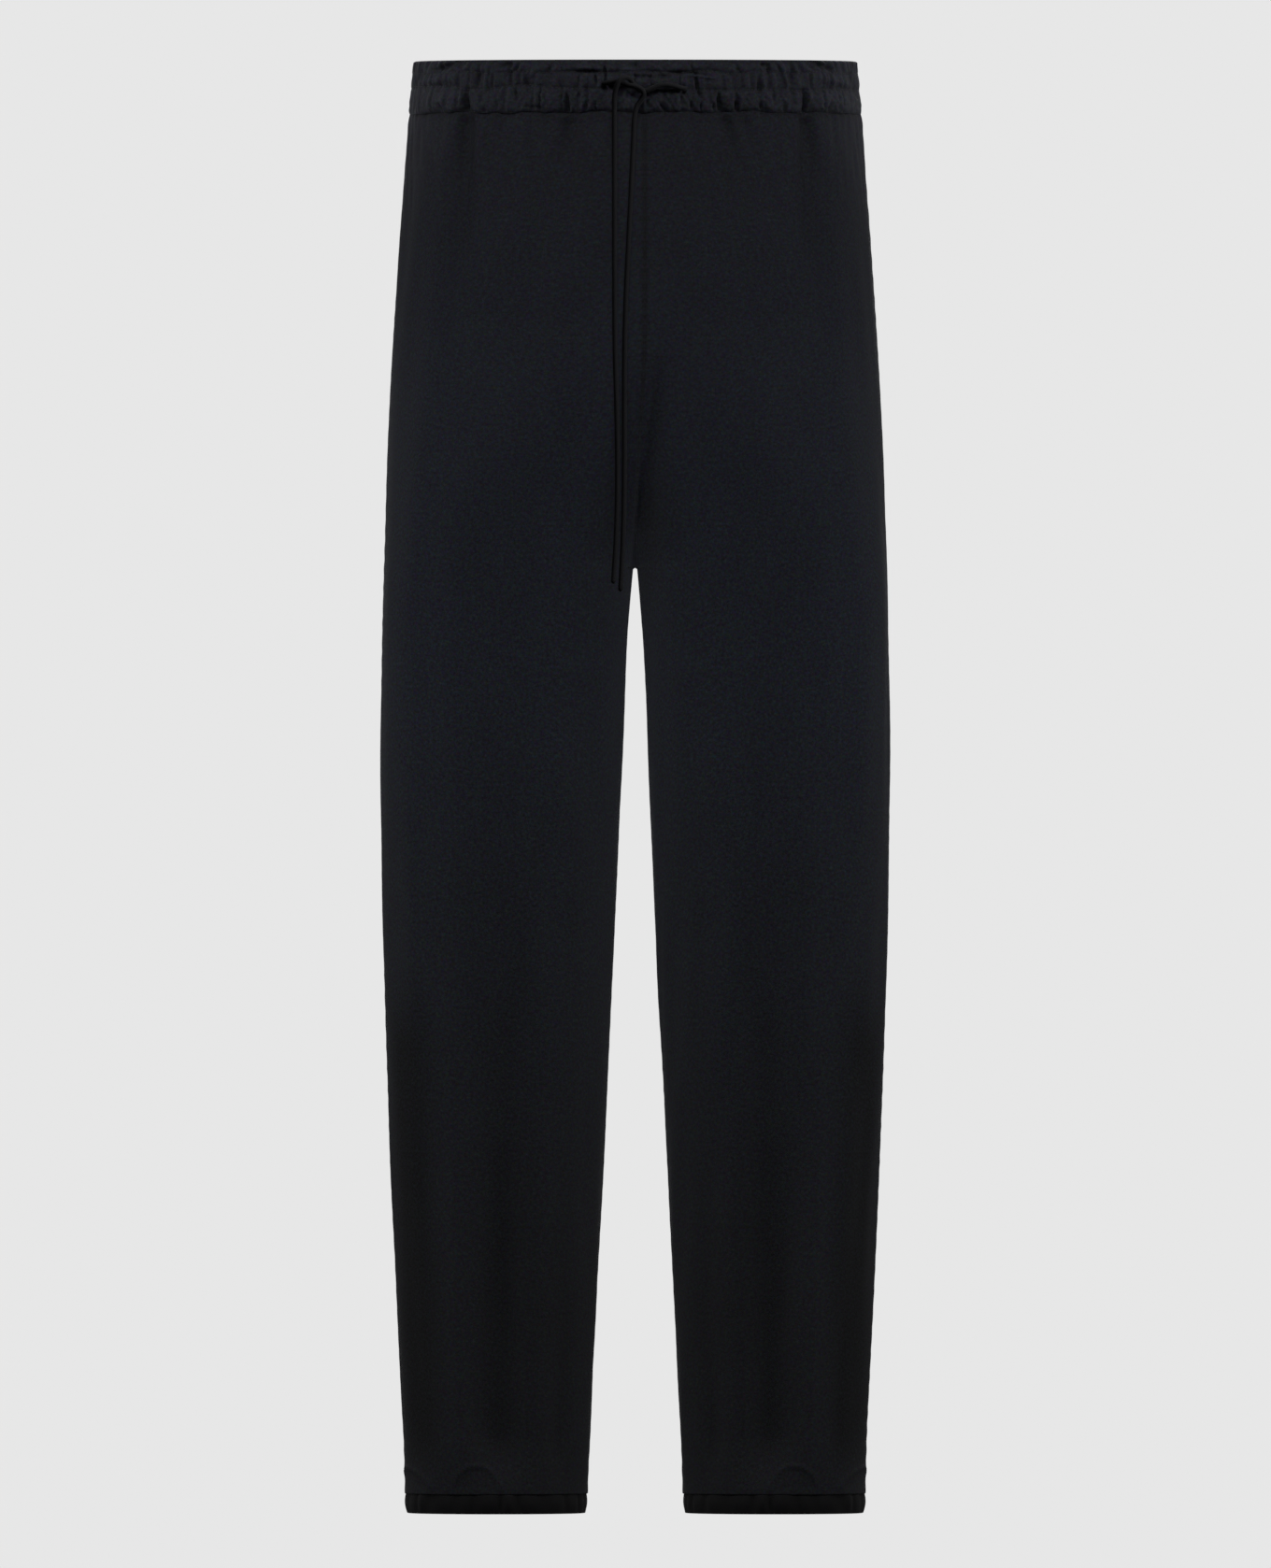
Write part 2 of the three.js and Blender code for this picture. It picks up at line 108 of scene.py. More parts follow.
PLEATS = named(Pleat, {
    "front_right": [
        (0.05, 0.02, 70, 5, 1), (0.373, 0, 34, 3.2, -1.4), (0.43, -0.03, 60, 7, 1.2),
        (0.491, 0.015, 165, 4.8, -7), (0.528, 0.07, 150, 4.2, 2.6), (0.6, 0.03, 70, 6, -1.1),
        (0.66, 0, 60, 5, 1), (0.73, 0.02, 45, 4, -1), (0.804, 0.03, 66, 3.8, -5),
        (0.835, 0.03, 60, 4, 1.2), (0.877, 0, 28, 2.8, -1.5), (0.94, 0, 40, 4, 0.8),
    ],
    "front_left": [
        (0.05, 0.02, 70, 5, 1), (0.373, 0, 30, 3.2, -1.1), (0.43, -0.03, 60, 7, 1.2),
        (0.491, 0.015, 165, 4.8, -7), (0.528, 0.07, 150, 4.2, 2.6), (0.565, 0, 36, 3, -1.5),
        (0.61, 0.02, 80, 5, 1.5), (0.645, 0, 44, 3.4, -1.5), (0.711, -0.01, 44, 3, -3),
        (0.735, 0, 60, 4, 0.9), (0.766, -0.03, 72, 4, -5), (0.8, 0, 50, 4, 0.8),
        (0.843, 0, 36, 3, -1.6), (0.92, 0, 50, 5, 0.6),
    ],
    "back_right": [
        (0.08, 0, 60, 5, 1), (0.19, 0.02, 90, 5, -2.6), (0.26, 0.02, 70, 5, 1.2),
        (0.34, 0, 50, 3.6, -1.6), (0.45, 0.01, 130, 5, -6.4), (0.5, 0.04, 120, 5, 1.8),
        (0.58, 0, 48, 3.4, -1.8), (0.67, -0.02, 90, 4.4, -3), (0.72, -0.02, 80, 5, 1.4),
        (0.8, 0, 60, 3.4, -2.2), (0.9, 0.01, 70, 4, -1.8),
    ],
    "back_left": [
        (0.08, 0, 60, 5, 1), (0.16, 0.01, 60, 4, -1.8), (0.24, 0.02, 100, 5, -2.8),
        (0.3, 0.03, 80, 5, 1.3), (0.4, 0, 44, 3.4, -1.6), (0.47, 0, 120, 5, -6),
        (0.52, 0.03, 110, 5, 1.6), (0.62, 0, 60, 4, -2.2), (0.7, -0.02, 100, 4.4, -2.8),
        (0.76, -0.02, 70, 5, 1.2), (0.86, 0, 70, 3.8, -2.4),
    ],
})
PLEAT_MOUTH = {"height": 9, "share": 0.4}
FLUTES = named(Flute, {
    "front": [
        (0.205, 655, 730, 16, -2, -1.2), (0.37, 660, 900, 11, 4, 0.5), (0.525, 470, 880, 17, -10, -0.5),
        (0.63, 640, 900, 10, 2.6, 0.1), (0.724, 800, 1010, 8, -3.6, -0.25),
        (0.86, 760, 1000, 13, 2.4, 0),
    ],
    "back": [
        (0.17, 690, 860, 12, -4, -0.8), (0.34, 700, 940, 12, 3.4, 0.2), (0.49, 500, 840, 16, -9, -0.4),
        (0.61, 640, 900, 11, 3, 0.1), (0.73, 660, 900, 10, -5, -0.3), (0.87, 820, 1010, 12, 2.2, 0),
    ],
})
# Long soft troughs and ridges of the hips and thighs, where the cloth is pulled by the fork.
HIP_CREASES = named(Crease, {
    "front_right": [(-24, 190, -30, 330, 11, 1), (-100, 330, -92, 640, 24, -1)],
    "front_left": [(13, 225, 9, 334, 7, -3), (34, 230, 28, 380, 12, 0.9), (100, 330, 92, 640, 24, -1)],
    "back_right": [
        (-30, 300, -70, 385, 9, -2.6), (-34, 345, -88, 400, 8, -1.8), (-110, 230, -100, 420, 22, -1.2),
    ],
    "back_left": [
        (32, 295, 74, 385, 9, -2.6), (30, 348, 84, 410, 8, -1.8), (108, 240, 98, 430, 22, -1.2),
    ],
})
# Painted shade beside the fork, where the cloth is painted darker. Here the last column is a shade, not
# a rise.
FORK_SHADES = named(Crease, {"front_left": [(8, 318, 8, 388, 8, -0.62)]})
# Small overhanging pockets of cloth just above the cuff.
POUCHES = named(Pouch, {
    "front": [(0.08, 36, 17), (0.43, 18, 19)],
    "back": [(0.1, 30, 16), (0.42, 18, 18), (0.68, 16, 14)],
})
POUCH_RELIEF = {"hollow": -0.35, "lip": 0.9, "lip_width": 1.0}
SEAM_GROOVE = {"side": 0.25, "centre": 0.8, "width": 1.5}
SEAM_PUCKER = {"height": 0.22, "reach": 7, "spacing": 15}
# Painted shade along the seam under the waistband and along the centre seams and inseams: how dark, and
# how wide.
SEAM_SHADE = {"waist": 0.55, "waist_width": 2.6, "centre": 0.9, "centre_width": 1.3}
FOLD_MARGIN = 10
# Depths of folds at which their painted shade is at its darkest.
FOLD_DEPTH = {"pleat": 11.0, "small": 6.0}

# Slow random waves: about how long they are across and down, how many are summed, and their size.
Wave = namedtuple("Wave", "across down count size")
EVEN = 1e9  # so long that nothing changes along it
WAVES = {
    "drape": Wave(46, 420, 9, 0.42),
    "broad_drape": Wave(95, 240, 6, 0.4),
    "fine_folds": Wave(14, 60, 9, 1),
    "waist_seam": Wave(13, EVEN, 8, 0.35),
    "top_row": Wave(38, EVEN, 6, 0.9),
    "low_row": Wave(42, EVEN, 6, 1.3),
    "gather_drift": Wave(0.05, EVEN, 7, 0.5),
    "gather_size": Wave(0.035, EVEN, 7, 0.6),
    "band_wrinkles": Wave(6, 9, 9, 0.25),
    "band_seam": Wave(11, EVEN, 8, 0.3),
}
# How much the fine folds rise, and how much painted shade follows them.
FINE_FOLDS = {"rise": 0.3, "shade": 0.1}
DRAPE_FADE = {"waist": 120, "cuff": 60, "fine": 100}

# ---- Waistband and cuffs ----
STITCH_ROWS = {"top": 9.0, "low": 20.0}
STITCH_LIFT = 0.1
# The three rows of puffs, from the top: how full, how wavy, and how square between their stitches.
BAND_PUFFS = [1.8, 1.5, 1.5]
BAND_WAVES = [0.9, 0.8, 0.6]
BAND_SQUARE = [None, 0.45, 0.32]
HALF_WAIST = 430  # along the cloth, and as long as a cuff is all round
BAND_CREASE_SCALE = 1.6  # deepens the rises of the creases below
# Painted shade and highlight of the waistband follow its relief: neutral at the middle height, full at
# this depth above or below it.
BAND_PAINTED_SHADE_RELIEF = {"middle": 1.6, "depth": 2.6}
BAND_THINNEST = 1.0
BAND_GATHERS = 48
CUFF_GATHERS = 24
BAND_CREASES = named(Crease, [
    # right side, from the side seam to the middle
    (-141.8, 7.4, -124.2, 0.3, 1.2, -1.9), (-129.6, 5.4, -121.5, 2.7, 0.9, -1.1),
    (-153.9, 8.1, -158.5, 19.6, 1.1, -1.8), (-157.6, 21, -159.8, 37, 0.9, -1.2),
    (-153, 17, -127, 10.5, 2.3, 1), (-149, 30, -131, 27, 3.4, 0.8),
    (-120.8, 21.6, -121.5, 38, 0.9, -1.6), (-124.2, 21.6, -124.6, 34, 1.1, 1.1),
    (-95.8, 4, -88.4, 3.4, 1.2, -1.8), (-89, 4, -88.4, 17.6, 0.9, -1.3),
    (-111.3, 5, -112.7, 18, 0.9, -1.2), (-104.6, 0, -107.3, 21.6, 0.9, 1.1),
    (-70.8, 6, -74, 10.8, 1.2, 1), (-79.6, 12, -76, 18.3, 1.5, -1.6),
    (-28.9, 9.5, -27.5, 17.6, 0.9, -1.4), (-22, 5, -21.4, 13, 0.9, -1.3),
    (-42.4, 8.8, -26, 9.2, 0.8, -1.3), (-40.4, 6, -25.5, 6.2, 1, 0.8),
    (-140, 31.5, -139.5, 38, 1, -1.1), (-108, 34, -107.6, 38, 1, -1.2),
    (-99.2, 29.8, -99, 34.5, 0.8, -0.8), (-85.7, 21.6, -84.6, 28.4, 0.8, -1),
    (-77, 34.5, -66, 35.6, 1.2, -1), (-49, 25, -48.5, 38, 1.1, -1.9),
    (-35.6, 31, -35.6, 36.5, 0.8, -1.2), (-29, 31, -28.8, 36.5, 0.8, -1.2),
    (-62, 22.5, -60, 30, 1.4, 0.8), (-56, 5, -52, 14, 1.4, 0.7),
    # middle: dips where the band is drawn up over the knot
    (-5, 4, 3.5, 4.6, 1.3, -1.4), (0.5, 12.6, 13, 12.8, 1, -1.3), (-9, 8, 1, 9.6, 1.6, 0.9),
    (16.5, 12, 25.5, 12.4, 0.9, -1.3), (26, 9.5, 35, 9.4, 0.9, -1.4), (37.4, 10.6, 56, 13.4, 0.55, 1.3),
    (36.5, 9.2, 51, 11.8, 0.7, -1.5), (17, 31.4, 22.2, 38, 0.8, -1.6),
    # left side, from the middle to the side seam
    (44.2, 14.9, 46.2, 26.4, 1.1, -1.8), (59.7, 25, 61, 38, 1.1, -2.2), (40, 31, 40, 37, 0.8, -1.3),
    (47.5, 31, 47.5, 36.5, 0.8, -1.3), (56.3, 31.8, 56.3, 36.8, 0.9, -1.3), (72.5, 30, 73, 38, 1, -1.6),
    (88.4, 12.8, 88.4, 23, 1, -1.5), (90.8, 8, 93.5, 33.8, 1, 1), (90, 31, 90.8, 38, 0.9, -1.3),
    (95.2, 2.7, 95.2, 10.5, 0.9, -1.3), (89.4, 3.9, 96, 3.9, 1, -1.5), (111.8, 3, 111.8, 17, 0.9, -1.3),
    (103, 0.7, 108.4, 18.3, 0.9, 1.1), (99, 23, 99.4, 31, 0.8, -0.9), (106.5, 31, 107.6, 38, 1, -1.3),
    (121.2, 21.6, 122.5, 38, 0.9, -1.6), (124.8, 22, 125.2, 32, 1.1, 1.1),
    (125.3, 0.5, 140.8, 7.2, 1.2, -1.9), (121.9, 2.7, 130, 6, 0.9, -1.1), (128, 10.5, 153, 17, 2.3, 1),
    (131, 27, 149, 30, 3.4, 0.8), (154.3, 9.5, 159.4, 26, 1.1, -1.8), (139, 32, 139.6, 38, 1, -1.1),
    (66, 22.5, 64, 30, 1.4, 0.8),
])
BACK_BAND_CREASES = {
    "count": 44, "reach": 150, "lengths": (5, 14), "widths": (0.8, 1.5), "rises": (0.7, 1.9),
}
# Drops of the lower stitched row along the front, by place across.
ROW_DRIFT = [
    (-162, 18.4), (-130, 18.6), (-121, 21.2), (-106, 21.2), (-95, 19.6), (-79, 17.6), (-64, 19.6),
    (-45, 20.8), (-20, 21), (20, 21.5), (60, 22), (88, 21.4), (121, 22), (140, 20.6), (162, 21),
]
BUTTONHOLES = [(-22.3, 17.4), (35, 21)]
BUTTONHOLE_SIZE = {"half_length": 3.4, "half_width": 1.0, "depth": 1.5}

# ---- Drawstring: the same points as the part's ----
CORD_POINTS = {
    "right": [
        (-23.5, -100.3, 1.4), (-19.6, -102.3, 2.2), (-15.4, -103.6, 2.8), (-11.2, -103.8, 2.6),
        (-7.2, -105.2, 1), (-3.2, -107.8, 0), (0.8, -108.9, -0.8), (4.6, -108.4, -2.6),
        (6.2, -107.6, -6.2), (4.4, -106.9, -10.4), (1.4, -106.6, -14.5), (-0.4, -106.8, -22),
        (-1.4, -107.8, -42), (-3, -110.8, -75), (-4.8, -114.2, -112), (-6.6, -116.1, -150),
        (-7.6, -116.9, -190), (-7.8, -117.1, -230), (-7.8, -117.2, -270), (-8.2, -117.2, -305),
        (-9.2, -117.2, -336), (-10.6, -117.2, -364.5),
    ],
    "left": [
        (36.2, -99.6, -2.2), (32.4, -101.8, -1.3), (27.6, -103.2, -0.1), (22.6, -103.4, 0.7),
        (17.4, -103.5, 0.2), (12.4, -103.5, -1.8), (7.8, -103.4, -3.4), (3.4, -103.1, -3.2),
        (-0.6, -103, 0.8), (-4, -104.2, 4.8), (-7.8, -107.2, 5.9), (-11.4, -108.6, 3.6),
        (-13.6, -108.1, -1), (-14.8, -107.2, -7), (-15, -106.8, -16), (-15, -107.8, -42),
        (-14.9, -111.8, -85), (-14.9, -115.5, -135), (-14.5, -116.9, -190), (-13.2, -117.1, -240),
        (-12.8, -117.2, -285), (-13.8, -117.2, -325), (-15.8, -117.2, -359),
    ],
}
CORD_STEP = 1.1
CORD_SIDES = 20
CORD_TIP = 1.2

# ---- The picture ----
PICTURE_PIXELS = (1360, 1678)
MM_PER_PIXEL = 0.6761
MIDDLE_PIXEL = (679.7, 66)  # the middle of the waistband's top edge
CAMERA_DISTANCE = 32.0
SENSOR = 36.0
FLOOR_DROP = LENGTH + 12
LIGHT_TARGET = (0, 0, -0.45)
BACKGROUND = 0.799
WORLD_LIGHT = 0.03
FLOOR_REACH = 9

# ---- Finishes and stitches ----
MOTTLE = 1.5
FLECKS = 2.6
# Colours of the cloth, each at its depth below the origin in metres. They are lightest about the thighs;
# the darkening towards the hem is painted shade.
CLOTH_TONES_WITH_PAINTED_SHADE = [
    (0.02, (0.0084, 0.0091, 0.0141)), (0.06, (0.0079, 0.0088, 0.0138)), (0.22, (0.009, 0.0106, 0.0169)),
    (0.42, (0.0114, 0.0137, 0.0212)), (0.64, (0.0098, 0.0113, 0.0162)), (0.88, (0.0078, 0.0084, 0.011)),
]
BAND_TONES = [(0, (0.0104, 0.0112, 0.017))]
# The cuffs' tones are painted shade of the cloth overhanging them: far darker than the legs, and darkest
# at the bottom.
CUFF_PAINTED_SHADE_TONES = [(1.022, (0.0016, 0.0015, 0.0019)), (1.03, (0.0009, 0.0008, 0.0012))]
CORD_TONES = (0.0042, 0.0042, 0.0054), (0.012, 0.012, 0.0144)
THREAD_TONES = (0.006, 0.006, 0.008), (0.014, 0.014, 0.017)
BRAID = {"strands": 8, "pitch": 5.5}
STITCH = {"Spacing": 3.0, "Stitch length": 2.3, "Thread": 0.22}

RANDOM = np.random.default_rng(20)


# ---- Small helpers ----
def add_object(name, data):
    made = bpy.data.objects.new(name, data)
    bpy.context.collection.objects.link(made)
    return made


def make_camera():
    centre_x = (PICTURE_PIXELS[0] / 2 - MIDDLE_PIXEL[0]) * MM_PER_PIXEL * MM
    centre_z = (ORIGIN_DROP - (PICTURE_PIXELS[1] / 2 - MIDDLE_PIXEL[1]) * MM_PER_PIXEL) * MM
    data = bpy.data.cameras.new("camera")
    data.sensor_width = SENSOR
    data.lens = SENSOR * CAMERA_DISTANCE / (PICTURE_PIXELS[1] * MM_PER_PIXEL * MM)
    data.clip_end = 200
    camera = add_object("camera", data)
    camera.location = (centre_x, -CAMERA_DISTANCE, centre_z)
    camera.rotation_euler = (pi / 2, 0, 0)
    bpy.context.scene.camera = camera


def smooth(t):
    t = np.clip(t, 0, 1)
    return t * t * (3 - 2 * t)


def bell(t):
    return np.exp(-0.5 * t * t)


def eased(steps):
    """Numbers from 0 to 1 that lie closer together towards 1."""
    return np.sin(np.arange(steps + 1) / steps * pi / 2)


def rounded(t):
    """A quarter of a circle, from 0 to 1."""
    return np.sqrt(1 - (1 - np.clip(t, 0, 1)) ** 2)


def on_cut(across, down):
    return np.stack(np.broadcast_arrays(across, down), 2)


def unit(vectors):
    return vectors / np.maximum(np.linalg.norm(vectors, axis=-1, keepdims=True), 1e-9)


# ---- Fields and meshes ----
def form_at(column, drop):
    """Smooth curve through one column of the form's table, at a drop."""
    drops = np.array([level.drop for level in FORM], float)
    values = np.array([getattr(level, column) for level in FORM], float)
    last = len(FORM) - 1
    places = np.arange(last + 1)
    before, after = np.clip(places - 1, 0, last), np.clip(places + 1, 0, last)
    slopes = (values[after] - values[before]) / (drops[after] - drops[before])
    i = np.clip(np.searchsorted(drops, drop) - 1, 0, last - 1)
    span = drops[i + 1] - drops[i]
    t = np.clip((drop - drops[i]) / span, 0, 1)
    rise = values[i + 1] - values[i]
    m0, m1 = slopes[i] * span, slopes[i + 1] * span
    return values[i] + t * m0 + t**2 * (3 * rise - 2 * m0 - m1) + t**3 * (m0 + m1 - 2 * rise)


def outline(angle, squareness):
    c, s = np.cos(angle), np.sin(angle)
    reach = (np.abs(c) ** squareness + np.abs(s) ** squareness) ** (-1 / squareness)
    return c * reach, s * reach


def slow_noise(name, x, y=0):
    """A smooth random field: a sum of the waves of that name."""
    wave = WAVES[name]
    field = np.zeros(np.broadcast(x, y).shape)
    for _ in range(wave.count):
        across = tau / (wave.across * RANDOM.uniform(0.6, 1.7))
        down = tau / (wave.down * RANDOM.uniform(0.6, 1.7)) * RANDOM.choice([-1, 1])
        field = field + np.sin(x * across + y * down + RANDOM.uniform(0, tau))
    return wave.size * (field / math.sqrt(wave.count))


def crease_rise(creases, x, drop):
    """The troughs and ridges of a table of creases, each fading out at its ends."""
    rise = 0
    for c in creases:
        run, fall = c.x1 - c.x0, c.drop1 - c.drop0
        along = np.clip(((x - c.x0) * run + (drop - c.drop0) * fall) / (run**2 + fall**2), 0, 1)
        away = np.hypot(x - c.x0 - along * run, drop - c.drop0 - along * fall)
        rise = rise + c.rise * bell(away / c.width) * (0.55 + 0.45 * np.sin(pi * along))
    return rise


def link_mesh(name, points, faces, flat_from, uvs, folds):
    """A mesh object. Faces past flat_from are flat shaded, and folds, the painted shade and highlight of
    folds and seams, is kept on the points.
    """
    mesh = bpy.data.meshes.new(name)
    mesh.from_pydata((points * MM).tolist(), [], faces.tolist())
    mesh.polygons.foreach_set("use_smooth", np.arange(len(faces)) < flat_from)
    mesh.uv_layers.new(name="cut").data.foreach_set("uv", (uvs[faces.ravel()] * MM).ravel())
    mesh.attributes.new("painted_shading", "FLOAT", "POINT").data.foreach_set("value", folds)
    mesh.validate()
    return add_object(name, mesh)


def grid_normals(grid):
    """Unit normals of a grid of points, columns by rows."""
    return unit(np.cross(np.gradient(grid, axis=0), np.gradient(grid, axis=1)))


def cloth_shell(name, outer, inner, uv, painted_shading, closed=False):
    """A closed wall between an outer and an inner grid of the same size, columns by rows."""
    columns, rows = outer.shape[:2]
    index = np.arange(columns * rows).reshape(columns, rows)
    if closed:
        index = np.vstack([index, index[:1]])
    a, b, c, d = index[:-1, :-1], index[:-1, 1:], index[1:, 1:], index[1:, :-1]
    front = np.stack([a, b, c, d], 2).reshape(-1, 4)
    inside = columns * rows
    back = front[:, ::-1] + inside
    edges = [(index[:, 0], 1), (index[:, -1], -1)]
    if not closed:
        edges += [(index[0], -1), (index[-1], 1)]
    rims = []
    for edge, turn in edges:
        p, q = edge[:-1], edge[1:]
        rims.append(np.stack([p, q, q + inside, p + inside], 1)[:, ::turn])
    faces = np.vstack([front, back] + rims)
    points = np.vstack([outer.reshape(-1, 3), inner.reshape(-1, 3)])
    p0, p1, p2, p3 = (points[faces[:, k]] for k in range(4))
    volume = np.sum(p0 * np.cross(p1, p2)) + np.sum(p0 * np.cross(p2, p3))
    if volume < 0:
        faces = faces[:, ::-1]
    uvs = np.vstack([uv.reshape(-1, 2)] * 2)
    # Painted shade and highlight of folds and seams, kept on the outer wall only.
    folds = np.concatenate([np.clip(painted_shading, -1, 1).ravel(), 0 * painted_shading.ravel()]).astype(np.float32)
    return link_mesh(name, points, faces, 2 * len(front), uvs, folds)


# ---- Drawstring ----
def between(a, b, start, end, t):
    return a + (b - a) * (t - start) / (end - start)


def cord_path(points):
    """A smooth curve through the points, as closely spaced points."""
    points = np.array(points, float)
    ends = np.vstack([2 * points[0] - points[1], points, 2 * points[-1] - points[-2]])
    path = []
    for p0, p1, p2, p3 in zip(ends, ends[1:], ends[2:], ends[3:]):
        t1 = np.linalg.norm(p1 - p0) ** 0.5
        t2 = t1 + np.linalg.norm(p2 - p1) ** 0.5
        t3 = t2 + np.linalg.norm(p3 - p2) ** 0.5
        steps = max(3, round(float(np.linalg.norm(p2 - p1)) / CORD_STEP))
        for t in t1 + (t2 - t1) * np.arange(steps) / steps:
            a1 = between(p0, p1, 0, t1, t)
            a2 = between(p1, p2, t1, t2, t)
            a3 = between(p2, p3, t2, t3, t)
            b1 = between(a1, a2, 0, t2, t)
            b2 = between(a2, a3, t1, t3, t)
            path.append(between(b1, b2, t1, t2, t))
    path.append(points[-1])
    return np.array(path)


def make_cord(side):
    path = cord_path(CORD_POINTS[side])
    tangents = unit(np.gradient(path, axis=0))
    lengths = np.concatenate([[0], np.cumsum(np.linalg.norm(np.diff(path, axis=0), axis=1))])
    radius = CORD_DIAMETER / 2 * (0.55 + 0.45 * rounded((lengths[-1] - lengths) / CORD_TIP))
    across = np.cross((1, 0, 0), tangents[0])
    angles = tau * np.arange(CORD_SIDES) / CORD_SIDES
    points = []
    for centre, tangent, size in zip(path, tangents, radius):
        across = unit(across - across.dot(tangent) * tangent)
        up = np.cross(tangent, across)
        points += [centre + size * (math.cos(a) * across + math.sin(a) * up) for a in angles]
    rings = np.arange(len(points)).reshape(-1, CORD_SIDES)
    around = np.roll(rings, -1, 1)
    faces = np.stack([rings[:-1], around[:-1], around[1:], rings[1:]], 2).reshape(-1, 4).tolist()
    ends = len(points)
    points += [path[0], path[-1] + tangents[-1] * 0.5]
    faces += [(ends, b, a) for a, b in zip(rings[0].tolist(), around[0].tolist())]
    faces += [(ends + 1, a, b) for a, b in zip(rings[-1].tolist(), around[-1].tolist())]
    mesh = bpy.data.meshes.new("drawstring_cord_" + side)
    mesh.from_pydata((np.array(points) * MM).tolist(), [], faces)
    mesh.polygons.foreach_set("use_smooth", [True] * len(faces))
    low, high = np.arange(CORD_SIDES) / CORD_SIDES, np.arange(1, CORD_SIDES + 1) / CORD_SIDES
    start, end = lengths[:-1, None], lengths[1:, None]
    corners = [on_cut(low, start), on_cut(high, start), on_cut(high, end), on_cut(low, end)]
    caps = [[(0.5, at), (one, at), (two, at)]
            for at, firsts, seconds in ((0, high, low), (lengths[-1], low, high))
            for one, two in zip(firsts, seconds)]
    uv = np.concatenate([np.stack(corners, 2).reshape(-1, 2), np.array(caps).reshape(-1, 2)])
    mesh.uv_layers.new(name="cut").data.foreach_set("uv", (uv * [1, MM]).ravel())
    return add_object("drawstring_cord_" + side, mesh), path, lengths[-1]


# ---- Form of the panels ----
def fork_part(face, drop):
    """How far down the fork a drop is, from 0 at its top to 1 at the crotch."""
    return np.clip((drop - CROTCH_DROP + FORK_DEPTH[face]) / FORK_DEPTH[face], 0, 1)


def fork_share(face, drop):
    return 1 - (1 - fork_part(face, drop) ** FORK_EASE["start"]) ** FORK_EASE["end"]


def arch_at(drop):
    """Half of the small flat arch at the top of the space between the legs, which fades out below."""
    return np.where(drop > CROTCH_DROP, ARCH["half"] * np.exp((CROTCH_DROP - drop) / ARCH["fade"]), 0)


def gap_at(drop):
    return np.where(drop > CROTCH_DROP, form_at("gap", drop) - arch_at(drop), 0)


def centre_shift(drop):
    start, end = CENTRE_SHIFT_ENDS
    return CENTRE_SHIFT * (1 - smooth((drop - start) / (end - start)))


def section_at(face, drop):
    """The rounded outline that a panel follows: centre, half width, depth, squareness and sweep."""
    width, gap, share = form_at("side", drop), gap_at(drop), fork_share(face, drop)
    squareness = form_at("square", drop)
    above = drop < CROTCH_DROP
    centre = np.where(above, width * share / (1 + share), (width + gap) / 2)
    half = np.where(above, width - centre, (width - gap) / 2)
    sweep = np.arctan2((1 - share**squareness) ** (1 / squareness), -share)
    return centre, half, form_at(face, drop), squareness, sweep


def panel_angle(face, u, drop):
    sweep = section_at(face, drop)[4]
    calm = (pi / 2) * (1 + smooth(fork_part(face, drop)))
    return calm * u + (sweep - calm) * u**4


def smooth_section(face, side, u, drop):
    centre, half, depth, squareness, _ = section_at(face, drop)
    across, deep = outline(panel_angle(face, u, drop), squareness)
    shift = centre_shift(drop) * u**3 if face == "front" else 0
    shift = shift + side * arch_at(drop) * u**16
    return side * (centre + half * across) + shift, depth * deep * FACES[face]


def panel_girth(face, drop):
    _, half, depth, _, sweep = section_at(face, drop)
    return sweep * np.hypot(half, depth) / math.sqrt(2)


def across_length(face, u, drop):
    """How far a place is from the side seam along the cloth, near enough for small folds."""
    _, half, depth, _, _ = section_at(face, drop)
    return panel_angle(face, u, drop) * np.hypot(half, depth) / math.sqrt(2)


def pleat_rise(panel, u, drop):
    face = panel.split("_")[0]
    girth = panel_girth(face, drop)
    below = drop - BAND_HEIGHT
    mouth = PLEAT_MOUTH["share"] + (1 - PLEAT_MOUTH["share"]) * smooth(below / PLEAT_MOUTH["height"])
    rise = 0
    for pleat in PLEATS[panel]:
        t = np.clip(below / pleat.length, 0, 2)
        spread = pleat.width * (1 + 1.6 * np.clip(t, 0, 1))
        fade = (1 - smooth(t)) * (1 - 0.35 * np.clip(t, 0, 1))
        rise = rise + pleat.rise * mouth * fade * bell((u - pleat.at - pleat.lean * t) * girth / spread)
    return rise


def fold_rise(panel, u, x, drop):
    """How far a panel's cloth stands out of its smooth form, and the painted shade and highlight that go
    with its folds.
    """
    face = panel.split("_")[0]
    girth = panel_girth(face, drop)
    at_hem = smooth(1 - (CUFF_TOP - drop) / HEM_FADE["height"])
    pleats = pleat_rise(panel, u, drop)
    rise, shade = 0, pleats / FOLD_DEPTH["pleat"]
    for flute in FLUTES[face]:
        t = (drop - flute.start) / (flute.full - flute.start)
        here = smooth(t) * bell((u - flute.at) * girth / flute.width)
        rise = rise + flute.rise * here * (1 - HEM_FADE["flatness"] * at_hem)
        shade = shade + flute.shade * here * (1 - at_hem)
    creases = crease_rise(HIP_CREASES[panel], x, drop)
    pouches = pouch_rise(face, u, drop, girth)
    shade = shade + (creases + pouches) / FOLD_DEPTH["small"]
    shade = shade + crease_rise(FORK_SHADES.get(panel, []), x, drop)
    rise = rise + pleats + creases + pouches
    below_band = drop - BAND_HEIGHT
    along = across_length(face, u, drop)
    drape = slow_noise("drape", along, drop) + slow_noise("broad_drape", along, drop)
    drape = drape * smooth(below_band / DRAPE_FADE["waist"])
    rise = rise + drape * smooth((CUFF_TOP - drop) / DRAPE_FADE["cuff"])
    fine = slow_noise("fine_folds", along, drop) * smooth(1 - below_band / DRAPE_FADE["fine"])
    return rise + FINE_FOLDS["rise"] * fine, shade + FINE_FOLDS["shade"] * fine


